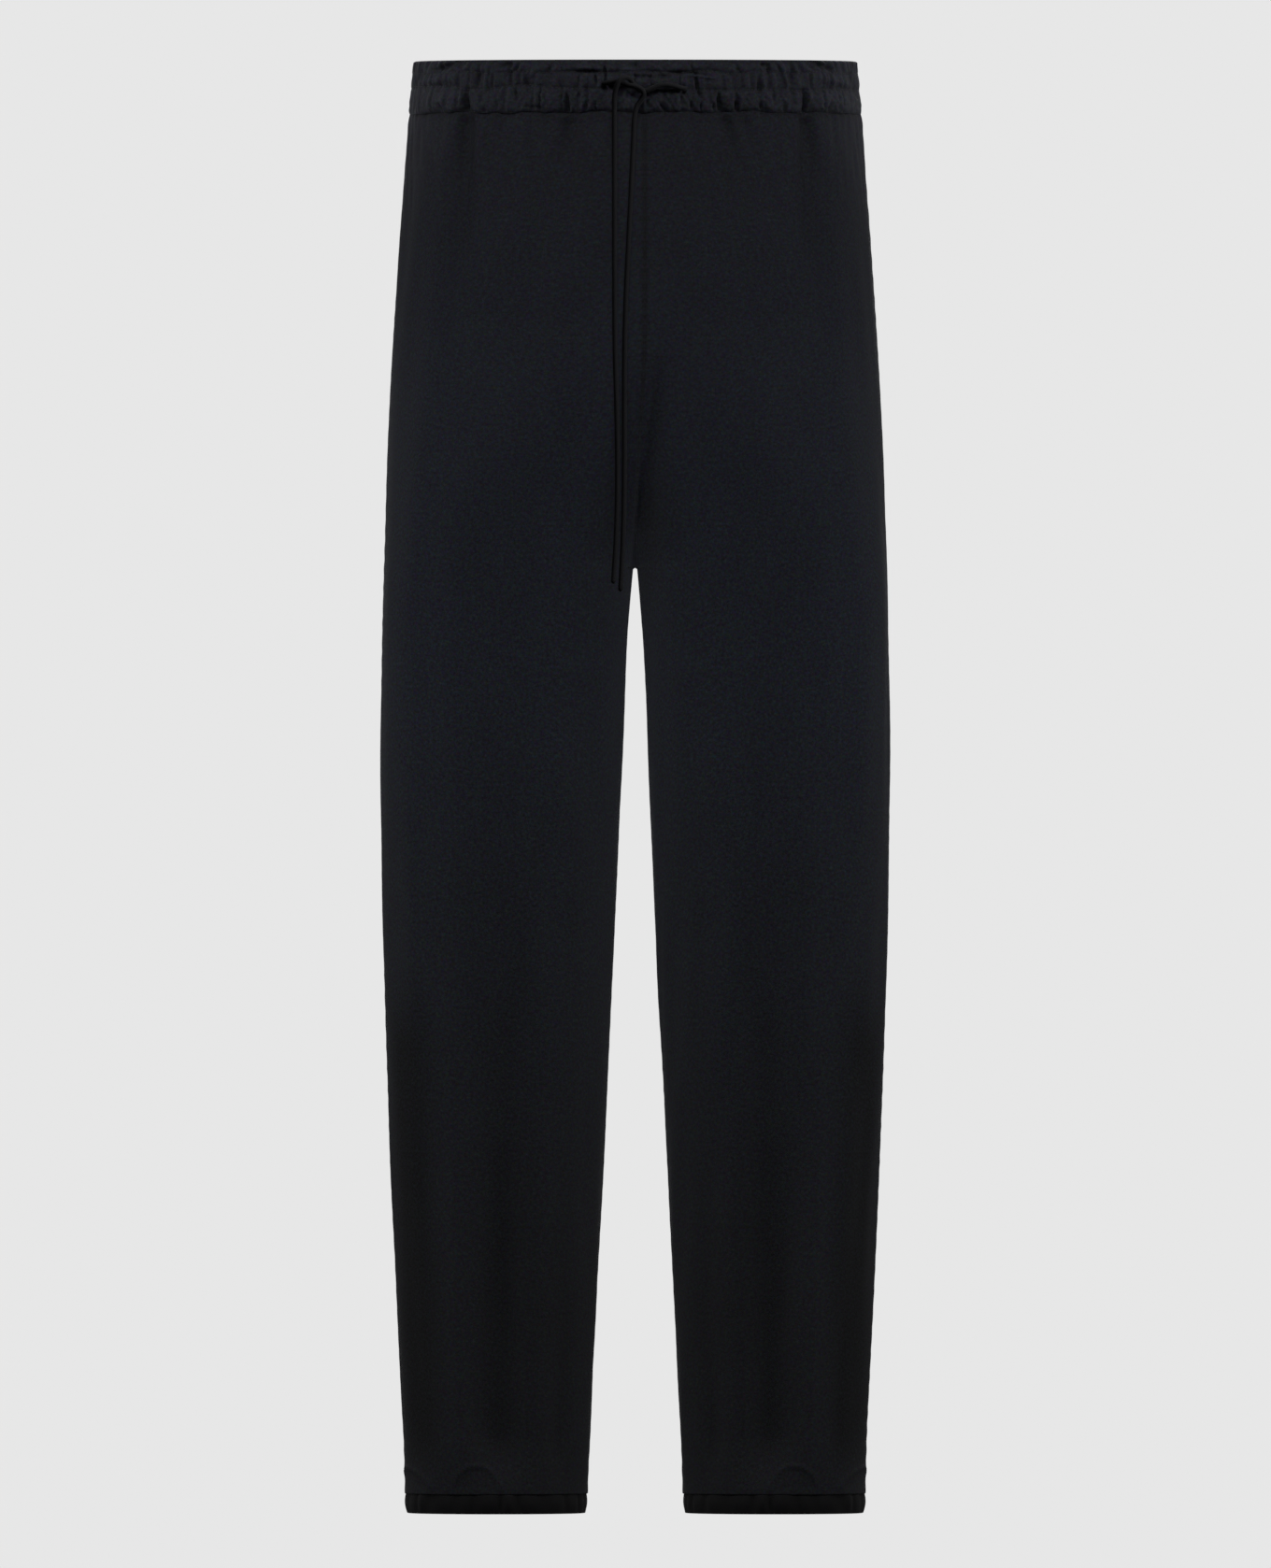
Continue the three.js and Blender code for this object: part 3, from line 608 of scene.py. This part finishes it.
def pouch_rise(face, u, drop, girth):
    rise = 0
    for pouch in POUCHES[face]:
        x = (u - pouch.at) * girth / pouch.half_width
        y = (CUFF_TOP - 2 - drop) / pouch.height
        reach = np.sqrt(x**2 + np.clip(y, 0, None) ** 2)
        past = (reach - 1) * pouch.height
        lip = POUCH_RELIEF["lip"] * bell(past / POUCH_RELIEF["lip_width"])
        dip = POUCH_RELIEF["hollow"] * smooth(-past / 5)
        fade = smooth((CUFF_TOP - drop) / 8)
        rise = rise + (lip + dip) * fade
    return rise


def blouse_rise(u, drop):
    """The swell above the cuff and the turn of the cloth in to the cuff seam."""
    turn = np.clip((drop - CUFF_TOP + BLOUSE["turn"]) / BLOUSE["turn"], 0, 1)
    tuck = BLOUSE["tuck_side"] + (BLOUSE["tuck_depth"] - BLOUSE["tuck_side"]) * np.sin(u * pi) ** 2
    swell = BLOUSE["swell"] * smooth((drop - CUFF_TOP + BLOUSE["height"]) / BLOUSE["height"])
    return swell - (BLOUSE["swell"] + tuck) * (1 - np.sqrt(1 - turn * turn))


def waist_seam_shift(x, drop):
    """How far the seam under the waistband wanders down, fading out above and below it."""
    wander = 0.55 * np.sin(x / 8.3 + 1) + 0.4 * np.sin(x / 3.7 + 0.4) + 0.3 * np.sin(x / 17)
    return wander * bell((drop - BAND_HEIGHT) / 4)


def seam_rise(u, x, drop, girth):
    """The groove and the small puckers of the seams along a panel's two long edges."""
    edge = np.minimum(u, 1 - u) * girth
    depth = np.where(u < 0.5, SEAM_GROOVE["side"], SEAM_GROOVE["centre"])
    groove = -depth * np.exp(-((edge / SEAM_GROOVE["width"]) ** 2))
    ripple = np.sin(tau * drop / SEAM_PUCKER["spacing"] + 2 * np.sin(drop / 31))
    pucker = SEAM_PUCKER["height"] * ripple * np.exp(-edge / SEAM_PUCKER["reach"]) * smooth(edge / 1.5)
    uneven = 0.8 + slow_noise("waist_seam", x)
    top = -uneven * (1 - 0.75 * bell(u / 0.12)) * np.exp(-(((drop - BAND_HEIGHT) / 1.4) ** 2))
    return groove + pucker + top


def panel_levels(face):
    """Drops of a panel's rows: fine under the waistband, at the fork and above the cuff."""
    top = BAND_HEIGHT + np.concatenate([[0, 0.5, 1.1, 1.9], np.arange(3, 92, 1.7)])
    fork_top = CROTCH_DROP - FORK_DEPTH[face]
    hip = np.arange(top[-1] + 3, fork_top, 3.5)
    fork = fork_top + FORK_DEPTH[face] * eased(56)
    below_fork = CROTCH_DROP + np.array([1.0, 2.6, 5.0])
    leg = np.arange(CROTCH_DROP + 9, CUFF_TOP - 56, 5.2)
    hem = np.arange(CUFF_TOP - 54, CUFF_TOP - 10, 1.5)
    turn = CUFF_TOP - 9 * (1 - eased(10))
    return np.concatenate([top, hip, fork, below_fork, leg, hem, turn])


def panel_columns():
    edge = np.array([0, 0.0022, 0.005, 0.009, 0.0145])
    return np.concatenate([edge, np.linspace(0.022, 0.978, 108), 1 - edge[::-1]])


def panel_normals(base, above):
    """Directions out of a panel, held in the planes of its seams along its two long edges."""
    normals = grid_normals(base)
    column, row = len(base) // 4, 20
    normals = normals * np.sign(normals[column, row] @ (base[column, row] * [1, 1, 0]))
    normals[0, :, 1] = 0
    normals[-1, above, 0] = 0
    normals[-1, ~above, 1] = 0
    return unit(normals)


def make_panel(panel):
    face, hand = panel.split("_")
    side, away = HANDS[hand], FACES[face]
    u, drop = panel_columns()[:, None], panel_levels(face)[None, :]
    x, y = smooth_section(face, side, u, drop)
    base = np.stack([x, y, ORIGIN_DROP - drop - waist_seam_shift(x, drop)], 2)
    above = drop[0] < CROTCH_DROP
    normals = panel_normals(base, above)
    girth = panel_girth(face, drop)
    margin = smooth(np.minimum(u, 1 - u) * girth / FOLD_MARGIN)
    folds, shade = fold_rise(panel, u, x, drop)
    rise = folds * margin + blouse_rise(u, drop) + seam_rise(u, x, drop, girth)
    centre = centre_shift(drop[0]) * (face == "front")
    walls = []
    for wall in (0, CLOTH):
        grid = base + normals * (rise - wall)[:, :, None]
        grid[:, :, 0] = side * np.maximum(side * (grid[:, :, 0] - centre), 0) + centre
        grid[-1, above, 0] = centre[above]
        grid[:, :, 1] = away * np.maximum(away * grid[:, :, 1], 0)
        grid[0, :, 1] = 0
        grid[-1, ~above, 1] = 0
        grid[:, 0, 2] = base[:, 0, 2]
        grid[:, :, 2] = np.maximum(grid[:, :, 2], ORIGIN_DROP - CUFF_TOP)
        grid[:, -1, 2] = ORIGIN_DROP - CUFF_TOP
        walls.append(grid)
    uv = on_cut(across_length(face, u, drop), drop)
    # Painted shade along the seam under the waistband and along the centre seam and inseam.
    waist_seam = SEAM_SHADE["waist"] * bell((drop - BAND_HEIGHT) / SEAM_SHADE["waist_width"])
    centre_seam_painted_shade = SEAM_SHADE["centre"] * bell((1 - u) * girth / SEAM_SHADE["centre_width"])
    return cloth_shell(panel + "_panel", *walls, uv, shade * margin - waist_seam - centre_seam_painted_shade)


# ---- Gathered bands ----
def gather_phase(places, gathers):
    """How many half gathers lie before each place. Their sizes differ a little."""
    i = np.arange(2 * gathers)
    steps = 1 + 0.3 * np.sin(2.3 * i) + 0.18 * np.sin(5.1 * i)
    ends = np.concatenate([[0], np.cumsum(steps)]) / np.sum(steps)
    return np.interp(places, ends, np.arange(2 * gathers + 1))


def gather_wave(phase, sharp):
    """Broad crests and narrow valleys; a valley at each even phase."""
    return 1 - 2 * ((1 + np.cos(pi * phase)) / 2) ** sharp


def back_band_creases():
    """Creases scattered over the back of the waistband, much as at the front."""
    made = []
    scatter = BACK_BAND_CREASES
    for k in range(scatter["count"]):
        x = scatter["reach"] * (2 * (k + RANDOM.uniform(0.1, 0.9)) / scatter["count"] - 1)
        long = RANDOM.uniform(*scatter["lengths"])
        top = RANDOM.choice([RANDOM.uniform(2, 8), RANDOM.uniform(10, 18), RANDOM.uniform(23, 32)])
        rise = RANDOM.choice([-1, -1, 1]) * RANDOM.uniform(*scatter["rises"])
        lean = RANDOM.uniform(-0.35, 0.35) * long
        bottom = min(top + long, BAND_HEIGHT)
        made.append(Crease(x, top, x + lean, bottom, RANDOM.uniform(*scatter["widths"]), rise))
    return made


def band_rows(face, x):
    """Drops of the two stitched rows, which wander a little round the waist."""
    top_row = STITCH_ROWS["top"] + slow_noise("top_row", x)
    if face == "front":
        return top_row, np.interp(x, *np.array(ROW_DRIFT).T)
    return top_row, STITCH_ROWS["low"] + slow_noise("low_row", x)


def puff_profile(row, t, x):
    """How full a row of puffs is, from its top (t = 0) to its bottom (t = 1)."""
    if row > 0:
        return np.sin(pi * t) ** BAND_SQUARE[row]
    side_on = smooth((np.abs(x) - 118) / 25)
    full = np.sqrt(np.clip(1 - t**3, 0, 1))
    return side_on * full + (1 - side_on) * np.sin(pi * t**1.4) ** 0.8


def band_height(face, place, x, drop, top_row, low_row):
    """How far the waistband's cloth stands out of the band, between its stitched rows."""
    phase = gather_phase(place, BAND_GATHERS)
    edges = [0 * x, top_row, low_row, 0 * x + BAND_HEIGHT]
    height = 0
    for k, (top, bottom) in enumerate(zip(edges, edges[1:])):
        t = np.clip((drop - top) / (bottom - top), 0, 1)
        inside = puff_profile(k, t, x)
        slant = (0.5 if k else 1.5) * (1 - 2 * place) * (t - 0.5)
        drift = slow_noise("gather_drift", place + 0.37 * k)
        size = np.clip(0.7 + slow_noise("gather_size", place - 0.21 * k), 0.1, 1.7)
        wave = gather_wave(phase + drift + slant, 1.5 + 0.5 * k) * size
        here = (drop >= top) & ((drop < bottom) | (k == 2))
        height = height + np.where(here, inside * (BAND_PUFFS[k] + BAND_WAVES[k] * wave), 0)
    tight = 0.65 * (1 - smooth((75 - np.abs(x)) / 30))
    height = height + 1.15 * tight * bell((drop - top_row) / 1.5)
    height = height + 0.3 * gather_wave(phase, 1.3) * bell((drop - low_row) / 1.4)
    creases = BAND_CREASES if face == "front" else back_band_creases()
    height = height + BAND_CREASE_SCALE * crease_rise(creases, x, drop)
    height = height + slow_noise("band_wrinkles", x, drop) * inside
    return height * (1 - 0.45 * smooth((np.abs(x) - 146) / 14))


def buttonhole_dip(x, drop):
    dip = 0
    for centre_x, centre_drop in BUTTONHOLES:
        across = (x - centre_x) / BUTTONHOLE_SIZE["half_width"]
        down = (drop - centre_drop) / BUTTONHOLE_SIZE["half_length"]
        dip = dip - BUTTONHOLE_SIZE["depth"] * smooth(2 * (1.3 - np.hypot(across, down)))
    return dip


def row_line(wall, drops, row):
    """The line of a stitched row, just off the outer wall of a waistband half."""
    k = np.clip(np.searchsorted(drops, row), 1, len(drops) - 1)
    t = ((row - drops[k - 1]) / (drops[k] - drops[k - 1]))[:, None]
    columns = np.arange(len(wall))
    line = wall[columns, k - 1] * (1 - t) + wall[columns, k] * t
    return line + STITCH_LIFT * unit(line * [1, 1, 0])


def seam_pleats(face, places):
    """The rise of the panels' pleats where they meet a waistband half, at places from right to left."""
    quarter = form_at("side", BAND_HEIGHT) * pi / 2
    rise = 0
    for hand, side in HANDS.items():
        u = 2 * places if hand == "right" else 2 * (1 - places)
        if face == "front":
            u = u + side * CENTRE_SHIFT * u**3 / (quarter * np.maximum(np.sin(u * pi / 2), 0.1))
        half = (places <= 0.5) if hand == "right" else (places > 0.5)
        rise = rise + half * pleat_rise(f"{face}_{hand}", u, np.full((1, 1), float(BAND_HEIGHT)))
    return rise


def band_seam_rise(height, pleats, x, drops):
    """Draws the waistband in to the seam along its lower edge, where the panels' pleats go on."""
    uneven = np.clip(0.75 + slow_noise("band_seam", x), 0.2, 1)
    seam = bell((drops - BAND_HEIGHT) / 1.1) * uneven
    seam = np.maximum(seam, smooth(1.3 - (BAND_HEIGHT - drops) / 0.8))
    side_on = smooth((np.abs(x) - 140) / 18)
    return height * (1 - seam) + (pleats - 0.6 + 0.45 * side_on) * seam


def make_waistband(face):
    places = np.linspace(0, 1, 12 * BAND_GATHERS + 1)[:, None]
    middle_drops = np.arange(2.0, BAND_HEIGHT - 0.6, 0.95)
    edge_drops = [0, 0.12, 0.4, 0.8, 1.3], [BAND_HEIGHT - 0.5, BAND_HEIGHT]
    drops = np.concatenate([edge_drops[0], middle_drops, edge_drops[1]])[None, :]
    across, deep = outline(pi * places, form_at("square", drops))
    x = -across * form_at("side", drops)
    rows = band_rows(face, x[:, :1])
    height = band_height(face, places, x, drops, *rows)
    pleats = seam_pleats(face, places) * smooth((drops - 24) / 13)
    height = height + pleats
    # Painted shade in the band's hollows and painted highlight on its crests.
    shade = (height - BAND_PAINTED_SHADE_RELIEF["middle"]) / BAND_PAINTED_SHADE_RELIEF["depth"]
    height = band_seam_rise(height, pleats, x, drops)
    if face == "front":
        height = height + buttonhole_dip(x, drops)
    ends = np.minimum(places, 1 - places) * HALF_WAIST
    height = height - 0.3 * np.exp(-((ends / 1.6) ** 2))
    rounding = rounded(drops / 1.6)
    middle = -BAND_WALL / 2
    outer_height = middle + (height - middle) * rounding
    inner_height = middle - (BAND_WALL / 2 + 0.25 * np.clip(height, -1, 3)) * rounding
    inner_height = np.minimum(inner_height, outer_height - BAND_THINNEST * rounding)
    z = ORIGIN_DROP - drops - waist_seam_shift(x, drops)
    walls = []
    for offset in (outer_height, inner_height):
        width = form_at("side", drops) + offset
        depth = form_at(face, drops) + offset
        grid = np.stack([-width * across, FACES[face] * depth * np.maximum(deep, 0), z], 2)
        grid[[0, -1], :, 1] = 0
        walls.append(grid)
    uv = on_cut(places * HALF_WAIST, drops)
    lines = [row_line(walls[0], drops[0], row[:, 0]) for row in rows]
    return cloth_shell(f"waistband_{face}_band", *walls, uv, shade), lines


def make_cuff(hand):
    count = 16 * CUFF_GATHERS
    places = (np.arange(count) / count)[:, None]
    edge_drops = CUFF_HEIGHT - CUFF_EDGE * (1 - eased(5)[1:])
    drops = np.concatenate([np.linspace(0, CUFF_HEIGHT - CUFF_EDGE, 14), edge_drops])[None, :]
    phase = gather_phase(places, CUFF_GATHERS)
    turn = tau * places
    drift = np.sin(turn * 5 + 1.3) * 0.3 + np.sin(turn * 11) * 0.2
    size = 0.8 + 0.4 * np.sin(turn * 7 + 0.6)
    body = np.sin(pi * np.clip(drops / CUFF_HEIGHT, 0, 1) * 0.8 + 0.5)
    height = body * (0.9 + 0.75 * size * gather_wave(phase + drift, 1.8))
    rounding = rounded((CUFF_HEIGHT - drops) / CUFF_EDGE)
    middle = -BAND_WALL / 2
    level = CUFF_TOP + drops
    across, deep = outline(turn, form_at("square", level))
    width, gap = form_at("side", level), gap_at(level)
    depth = np.where(deep < 0, form_at("front", level), form_at("back", level))
    walls = []
    for offset in (height - middle, -BAND_WALL - middle):
        offset = middle + offset * rounding
        x = (width + gap) / 2 + ((width - gap) / 2 - CUFF_INSET["side"] + offset) * across
        y = (depth - CUFF_INSET["depth"] + offset) * deep
        walls.append(np.stack([HANDS[hand] * x, y, np.broadcast_to(ORIGIN_DROP - level, x.shape)], 2))
    uv = on_cut(places * HALF_WAIST, drops)
    # Painted shade in the cuff's gathers and painted highlight on their crests, from how far they stand
    # out.
    return cloth_shell(f"cuff_{hand}_band", *walls, uv, (height - 0.9) / 1.1, closed=True)


# ---- Finishes ----
class Wire:
    """A value that flows between nodes. Sums on it add Math nodes."""

    def __init__(self, nodes, socket):
        self.nodes = nodes
        self.socket = socket

    def __add__(self, other):
        return self.nodes.maths("ADD", self, other)

    __radd__ = __add__

    def __sub__(self, other):
        return self.nodes.maths("SUBTRACT", self, other)

    def __rsub__(self, other):
        return self.nodes.maths("SUBTRACT", other, self)

    def __mul__(self, other):
        return self.nodes.maths("MULTIPLY", self, other)

    __rmul__ = __mul__


class Nodes:
    """A node tree under construction."""

    def __init__(self, tree):
        self.tree = tree

    def node(self, kind, settings=None, inputs=None, output=0):
        """One node: its kind, its settings, then the values or wires of its inputs."""
        made = self.tree.nodes.new(kind if "Node" in kind else "ShaderNode" + kind)
        for setting, value in (settings or {}).items():
            setattr(made, setting, value)
        for key, value in (inputs or {}).items():
            self.feed(made.inputs[key], value)
        return Wire(self, made.outputs[output])

    def feed(self, socket, value):
        if isinstance(value, Wire):
            self.tree.links.new(value.socket, socket)
        else:
            socket.default_value = value

    def maths(self, operation, *values):
        return self.node("Math", {"operation": operation}, dict(enumerate(values)))

    def vectors(self, operation, *values):
        return self.node("VectorMath", {"operation": operation}, dict(enumerate(values)))


class Finish(Nodes):
    """A material under construction."""

    def __init__(self, name):
        self.material = bpy.data.materials.new(name)
        self.material.use_nodes = True
        super().__init__(self.material.node_tree)
        self.shader = self.tree.nodes["Principled BSDF"]

    def set(self, **values):
        for key, value in values.items():
            self.feed(self.shader.inputs[key.replace("_", " ")], value)

    def noise(self, coordinates, size_mm, detail=2.0, roughness=0.5, stretch=(1, 1, 1), output=0):
        return self.node("TexNoise", None, {
            "Vector": self.vectors("MULTIPLY", coordinates, stretch),
            "Scale": 1 / (size_mm * MM), "Detail": detail, "Roughness": roughness}, output)

    def clamp(self, value, low, high):
        return self.node("MapRange", {"clamp": True}, {
            "Value": value, "From Min": low, "From Max": high, "To Min": 0.0, "To Max": 1.0})

    def blend(self, factor, a, b):
        """A mix of two colours, each a wire or three numbers."""
        a, b = (colour if isinstance(colour, Wire) else (*colour, 1) for colour in (a, b))
        return self.node("Mix", {"data_type": "RGBA"}, {0: factor, 6: a, 7: b}, output=2)

    def bump(self, strength, distance_mm, height):
        return self.node("Bump", None, {
            "Strength": strength, "Distance": distance_mm * MM, "Height": height})


def cloth_finish(name, tones, painted_shade_strength):
    """Matte crepe: a pebbly grain near 1 mm and soft mottling. tones are (drop in metres, colour).

    The last argument is how strongly painted shade darkens the insides of folds and seams and painted
    highlight lightens their crests, from the point attribute of painted shading."""
    f = Finish(name)
    cut = f.node("UVMap", {"uv_map": "cut"})
    place = f.node("TexCoord", output=3)
    height = f.node("SeparateXYZ", None, {0: place}, output=2)
    pebbles = f.node("TexVoronoi", {"feature": "SMOOTH_F1"}, {
        "Vector": cut, "Scale": 1 / (0.95 * MM), "Smoothness": 0.7, "Randomness": 1.0})
    yarns = f.noise(cut, 0.7, 2.0, 0.6, stretch=(1, 0.45, 1))
    specks = f.noise(cut, 2.3, 2.5, 0.6)
    clouds = f.noise(cut, 26, 3.0, 0.55, stretch=(1, 0.5, 1))
    painted_shading = f.node("Attribute", {"attribute_name": "painted_shading"}, output=2)
    tone = (specks - 0.5) * (1.5 * MOTTLE) + (clouds - 0.5) * (0.25 * MOTTLE) + (yarns - 0.5) * MOTTLE
    # Painted shade in folds and seams and painted highlight on crests, read from the point attribute.
    tone = tone + painted_shading * painted_shade_strength
    hues = f.noise(cut, 2.0, 2.0, 0.6, output=1)
    hues = f.vectors("MULTIPLY_ADD", hues, [FLECKS] * 3, [1 - FLECKS / 2] * 3)
    # Tones by height, which carry painted shade that darkens the legs towards the hem.
    colour = tones[0][1]
    for (above, _), (below, shade) in zip(tones, tones[1:]):
        colour = f.blend(f.clamp(height * -1, above, below), colour, shade)
    flecked = f.vectors("MULTIPLY", colour, hues)
    lighter = f.node("VectorMath", {"operation": "SCALE"}, {0: flecked, "Scale": tone + 1.0})
    bump = f.bump(0.55, 0.22, pebbles * -0.6 + yarns * 0.7 + specks * 0.5)
    f.set(Base_Color=lighter, Roughness=(specks - 0.5) * 0.12 + 0.82, Normal=bump)
    f.set(Specular_IOR_Level=0.2, Sheen_Weight=0.035, Sheen_Roughness=0.45)
    return f.material


def cord_finish():
    """A round braid: two sets of strands that cross in small diamonds."""
    f = Finish("braided_cord")
    cut = f.node("UVMap", {"uv_map": "cut"})
    turn = f.node("SeparateXYZ", None, {0: cut}, output=0)
    along = f.node("SeparateXYZ", None, {0: cut}, output=1)
    strands, pitch = BRAID["strands"], BRAID["pitch"] * MM
    round_turn, run = turn * (pi * strands), along * (pi * strands / pitch / 2)
    one = f.maths("ABSOLUTE", f.maths("SINE", round_turn + run))
    two = f.maths("ABSOLUTE", f.maths("SINE", round_turn - run))
    braid = f.maths("MAXIMUM", one, two)
    fuzz = f.noise(cut, 0.9, 2.0, 0.6, stretch=(0.004, 1, 1))
    colour = f.blend(braid * 0.7 + fuzz * 0.3, *CORD_TONES)
    f.set(Base_Color=colour, Roughness=0.88 - braid * 0.1, Normal=f.bump(0.8, 0.3, braid + fuzz * 0.3))
    f.set(Specular_IOR_Level=0.25, Sheen_Weight=0.05, Sheen_Roughness=0.4)
    return f.material


def thread_finish():
    """Twisted sewing thread."""
    f = Finish("sewing_thread")
    twist = f.noise(f.node("TexCoord", output=3), 0.4, 1.0)
    f.set(Base_Color=f.blend(twist, *THREAD_TONES), Roughness=twist * 0.2 + 0.5, Specular_IOR_Level=0.35)
    return f.material


# ---- Stitches ----
def stitch_tree():
    """Geometry nodes that lay short rounded stitches along a path."""
    tree = bpy.data.node_groups.new("stitches_along_path", "GeometryNodeTree")
    kinds = {"Path": "Geometry", **dict.fromkeys(STITCH, "Float"), "Finish": "Material"}
    inputs = {}
    for label, kind in kinds.items():
        socket = tree.interface.new_socket(label, in_out="INPUT", socket_type="NodeSocket" + kind)
        inputs[label] = socket.identifier
    tree.interface.new_socket("Stitches", in_out="OUTPUT", socket_type="NodeSocketGeometry")
    n = Nodes(tree)
    given = tree.nodes.new("NodeGroupInput")
    path, spacing, length, thread, finish = (Wire(n, given.outputs[label]) for label in kinds)
    curve = n.node("GeometryNodeMeshToCurve", None, {"Mesh": path})
    even = n.node("GeometryNodeResampleCurve", {"mode": "LENGTH"}, {"Curve": curve, "Length": spacing})
    tangent = n.node("GeometryNodeInputTangent")
    turn = n.node("FunctionNodeAlignRotationToVector", {"axis": "X"}, {"Vector": tangent})
    bead = n.node("GeometryNodeMeshUVSphere", None, {"Segments": 7, "Rings": 5, "Radius": 1.0})
    size = n.node("CombineXYZ", None, {0: length * 0.5, 1: thread, 2: thread})
    placed = n.node("GeometryNodeInstanceOnPoints", None, {
        "Points": even, "Instance": bead, "Rotation": turn, "Scale": size})
    real = n.node("GeometryNodeRealizeInstances", None, {"Geometry": placed})
    done = n.node("GeometryNodeSetMaterial", None, {"Geometry": real, "Material": finish})
    n.feed(tree.nodes.new("NodeGroupOutput").inputs["Stitches"], done)
    return tree, inputs


def sew(name, paths, tree, inputs, finish):
    """Stitches along one or more paths of points, as one plain mesh."""
    points, edges = [], []
    for path in paths:
        start = len(points)
        points += [tuple(p * MM) for p in path]
        edges += [(k, k + 1) for k in range(start, len(points) - 1)]
    mesh = bpy.data.meshes.new(name + "_path")
    mesh.from_pydata(points, edges, [])
    guide = add_object(name + "_path", mesh)
    modifier = guide.modifiers.new("stitches", "NODES")
    modifier.node_group = tree
    for label, size in STITCH.items():
        modifier[inputs[label]] = size * MM
    modifier[inputs["Finish"]] = finish
    graph = bpy.context.evaluated_depsgraph_get()
    made = bpy.data.meshes.new_from_object(guide.evaluated_get(graph), depsgraph=graph)
    made.name = name
    bpy.data.objects.remove(guide)
    for polygon in made.polygons:
        polygon.use_smooth = True
    return add_object(name, made)


# ---- Light and surroundings ----
def named_set(name, pieces):
    group = bpy.data.collections.new(name)
    for piece in pieces:
        group.objects.link(piece)
    return group


def soft_light(name, azimuth, height, size, watts, lights, shades=(), distance=3.2,
               target=LIGHT_TARGET, spread=180):
    """A softbox round the garment, 0 degrees at its front and 90 at the wearer's left.

    It falls on just the pieces in lights. With shades only those cast its shadows."""
    data = bpy.data.lights.new(name, "AREA")
    data.shape = "RECTANGLE"
    data.size, data.size_y = size
    data.energy = watts
    data.spread = math.radians(spread)
    light = add_object(name, data)
    light.visible_camera = False
    turn = math.radians(azimuth)
    light.location = (distance * math.sin(turn), -distance * math.cos(turn), height)
    light.rotation_euler = (Vector(target) - light.location).to_track_quat("-Z", "Y").to_euler()
    light.light_linking.receiver_collection = named_set(name + "_lights", lights)
    if shades:
        light.light_linking.blocker_collection = named_set(name + "_shades", shades)


def make_lights(legs, waist, cords):
    cloth_pieces = waist + legs["right"] + legs["left"]
    soft_light("top_softbox", 0, 2.4, (2.4, 1.0), 54, cloth_pieces)
    soft_light("cord_light", 56, 1.3, (0.6, 0.6), 54, cords)
    soft_light("cord_top_light", 0, 3.0, (0.6, 0.3), 22, cords, (), 0.8, (0, 0, 0))
    for hand, way in HANDS.items():
        soft_light(hand + "_key", way * 52, 0.4, (0.9, 2.4), 38, legs[hand], cloth_pieces)
        soft_light(hand + "_cross", -way * 80, 0.4, (1.0, 2.4), 40, legs[hand], legs[hand])
        soft_light(hand + "_waist", way * 72, 0.7, (0.5, 0.9), 49, waist)
        soft_light(hand + "_hip", way * 90, 0.12, (0.06, 0.06), 0.008, cloth_pieces, (), 1.2,
                   (way * 0.14, 0, -0.025), 8)
        soft_light(hand + "_rim", way * 125, 0.6, (0.8, 1.6), 9, cloth_pieces)
    soft_light("back_softbox", 180, 1.6, (2.4, 1.6), 60, cloth_pieces)


def make_world():
    """A pale surround that gives only a little light of its own."""
    world = bpy.data.worlds.new("studio")
    bpy.context.scene.world = world
    world.use_nodes = True
    n = Nodes(world.node_tree)
    seen = n.node("LightPath")
    strength = n.node("MapRange", None, {
        "Value": seen, "To Min": WORLD_LIGHT, "To Max": BACKGROUND})
    background = world.node_tree.nodes["Background"]
    n.feed(background.inputs["Color"], (1, 1, 1, 1))
    n.feed(background.inputs["Strength"], strength)


def make_floor():
    z = (ORIGIN_DROP - FLOOR_DROP) * MM
    corners = [(FLOOR_REACH * x, FLOOR_REACH * y, z) for x, y in ((-1, -1), (1, -1), (1, 1), (-1, 1))]
    mesh = bpy.data.meshes.new("floor")
    mesh.from_pydata(corners, [], [(0, 1, 2, 3)])
    pale = Finish("pale_floor")
    glow = pale.node("Emission", None, {"Color": (BACKGROUND, BACKGROUND, BACKGROUND, 1)})
    pale.feed(pale.tree.nodes["Material Output"].inputs[0], glow)
    mesh.materials.append(pale.material)
    floor = add_object("floor", mesh)
    floor.visible_diffuse = False
    floor.visible_glossy = False


# ---- Making and dressing ----
def dress(piece, node, finish):
    """Gives a piece its finish, and lets it stand for a node of the part."""
    piece.data.materials.clear()
    piece.data.materials.append(finish)
    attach(piece, "root")
    if node:
        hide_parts(node)


make_camera()
cord_cloth = cord_finish()
waist, cords = [], []
for hand in HANDS:
    cord, path, length = make_cord(hand)
    dress(cord, "drawstring_" + hand, cord_cloth)
    cords.append(cord)

# The last number of each finish is the strength of its painted shade and highlight.
cloth = cloth_finish("crepe_cloth", CLOTH_TONES_WITH_PAINTED_SHADE, 0.6)
band_cloth = cloth_finish("shirred_waistband_cloth", BAND_TONES, 0.45)
cuff_cloth = cloth_finish("gathered_cuff_cloth", CUFF_PAINTED_SHADE_TONES, 0.35)
thread = thread_finish()

legs = {"right": [], "left": []}
for face in FACES:
    for hand in HANDS:
        panel = make_panel(f"{face}_{hand}")
        legs[hand].append(panel)
        dress(panel, f"{face}_{hand}", cloth)

tree, tree_inputs = stitch_tree()
for face in FACES:
    band, stitched_rows = make_waistband(face)
    dress(band, "waistband_" + face, band_cloth)
    rows = sew(f"waistband_{face}_stitches", stitched_rows, tree, tree_inputs, thread)
    dress(rows, None, thread)
    waist += [band, rows]

for hand in HANDS:
    cuff = make_cuff(hand)
    dress(cuff, "cuff_" + hand, cuff_cloth)
    legs[hand].append(cuff)

make_lights(legs, waist, cords)
make_world()
make_floor()
bpy.context.scene.view_settings.view_transform = "Standard"
bpy.context.scene.view_settings.look = "None"
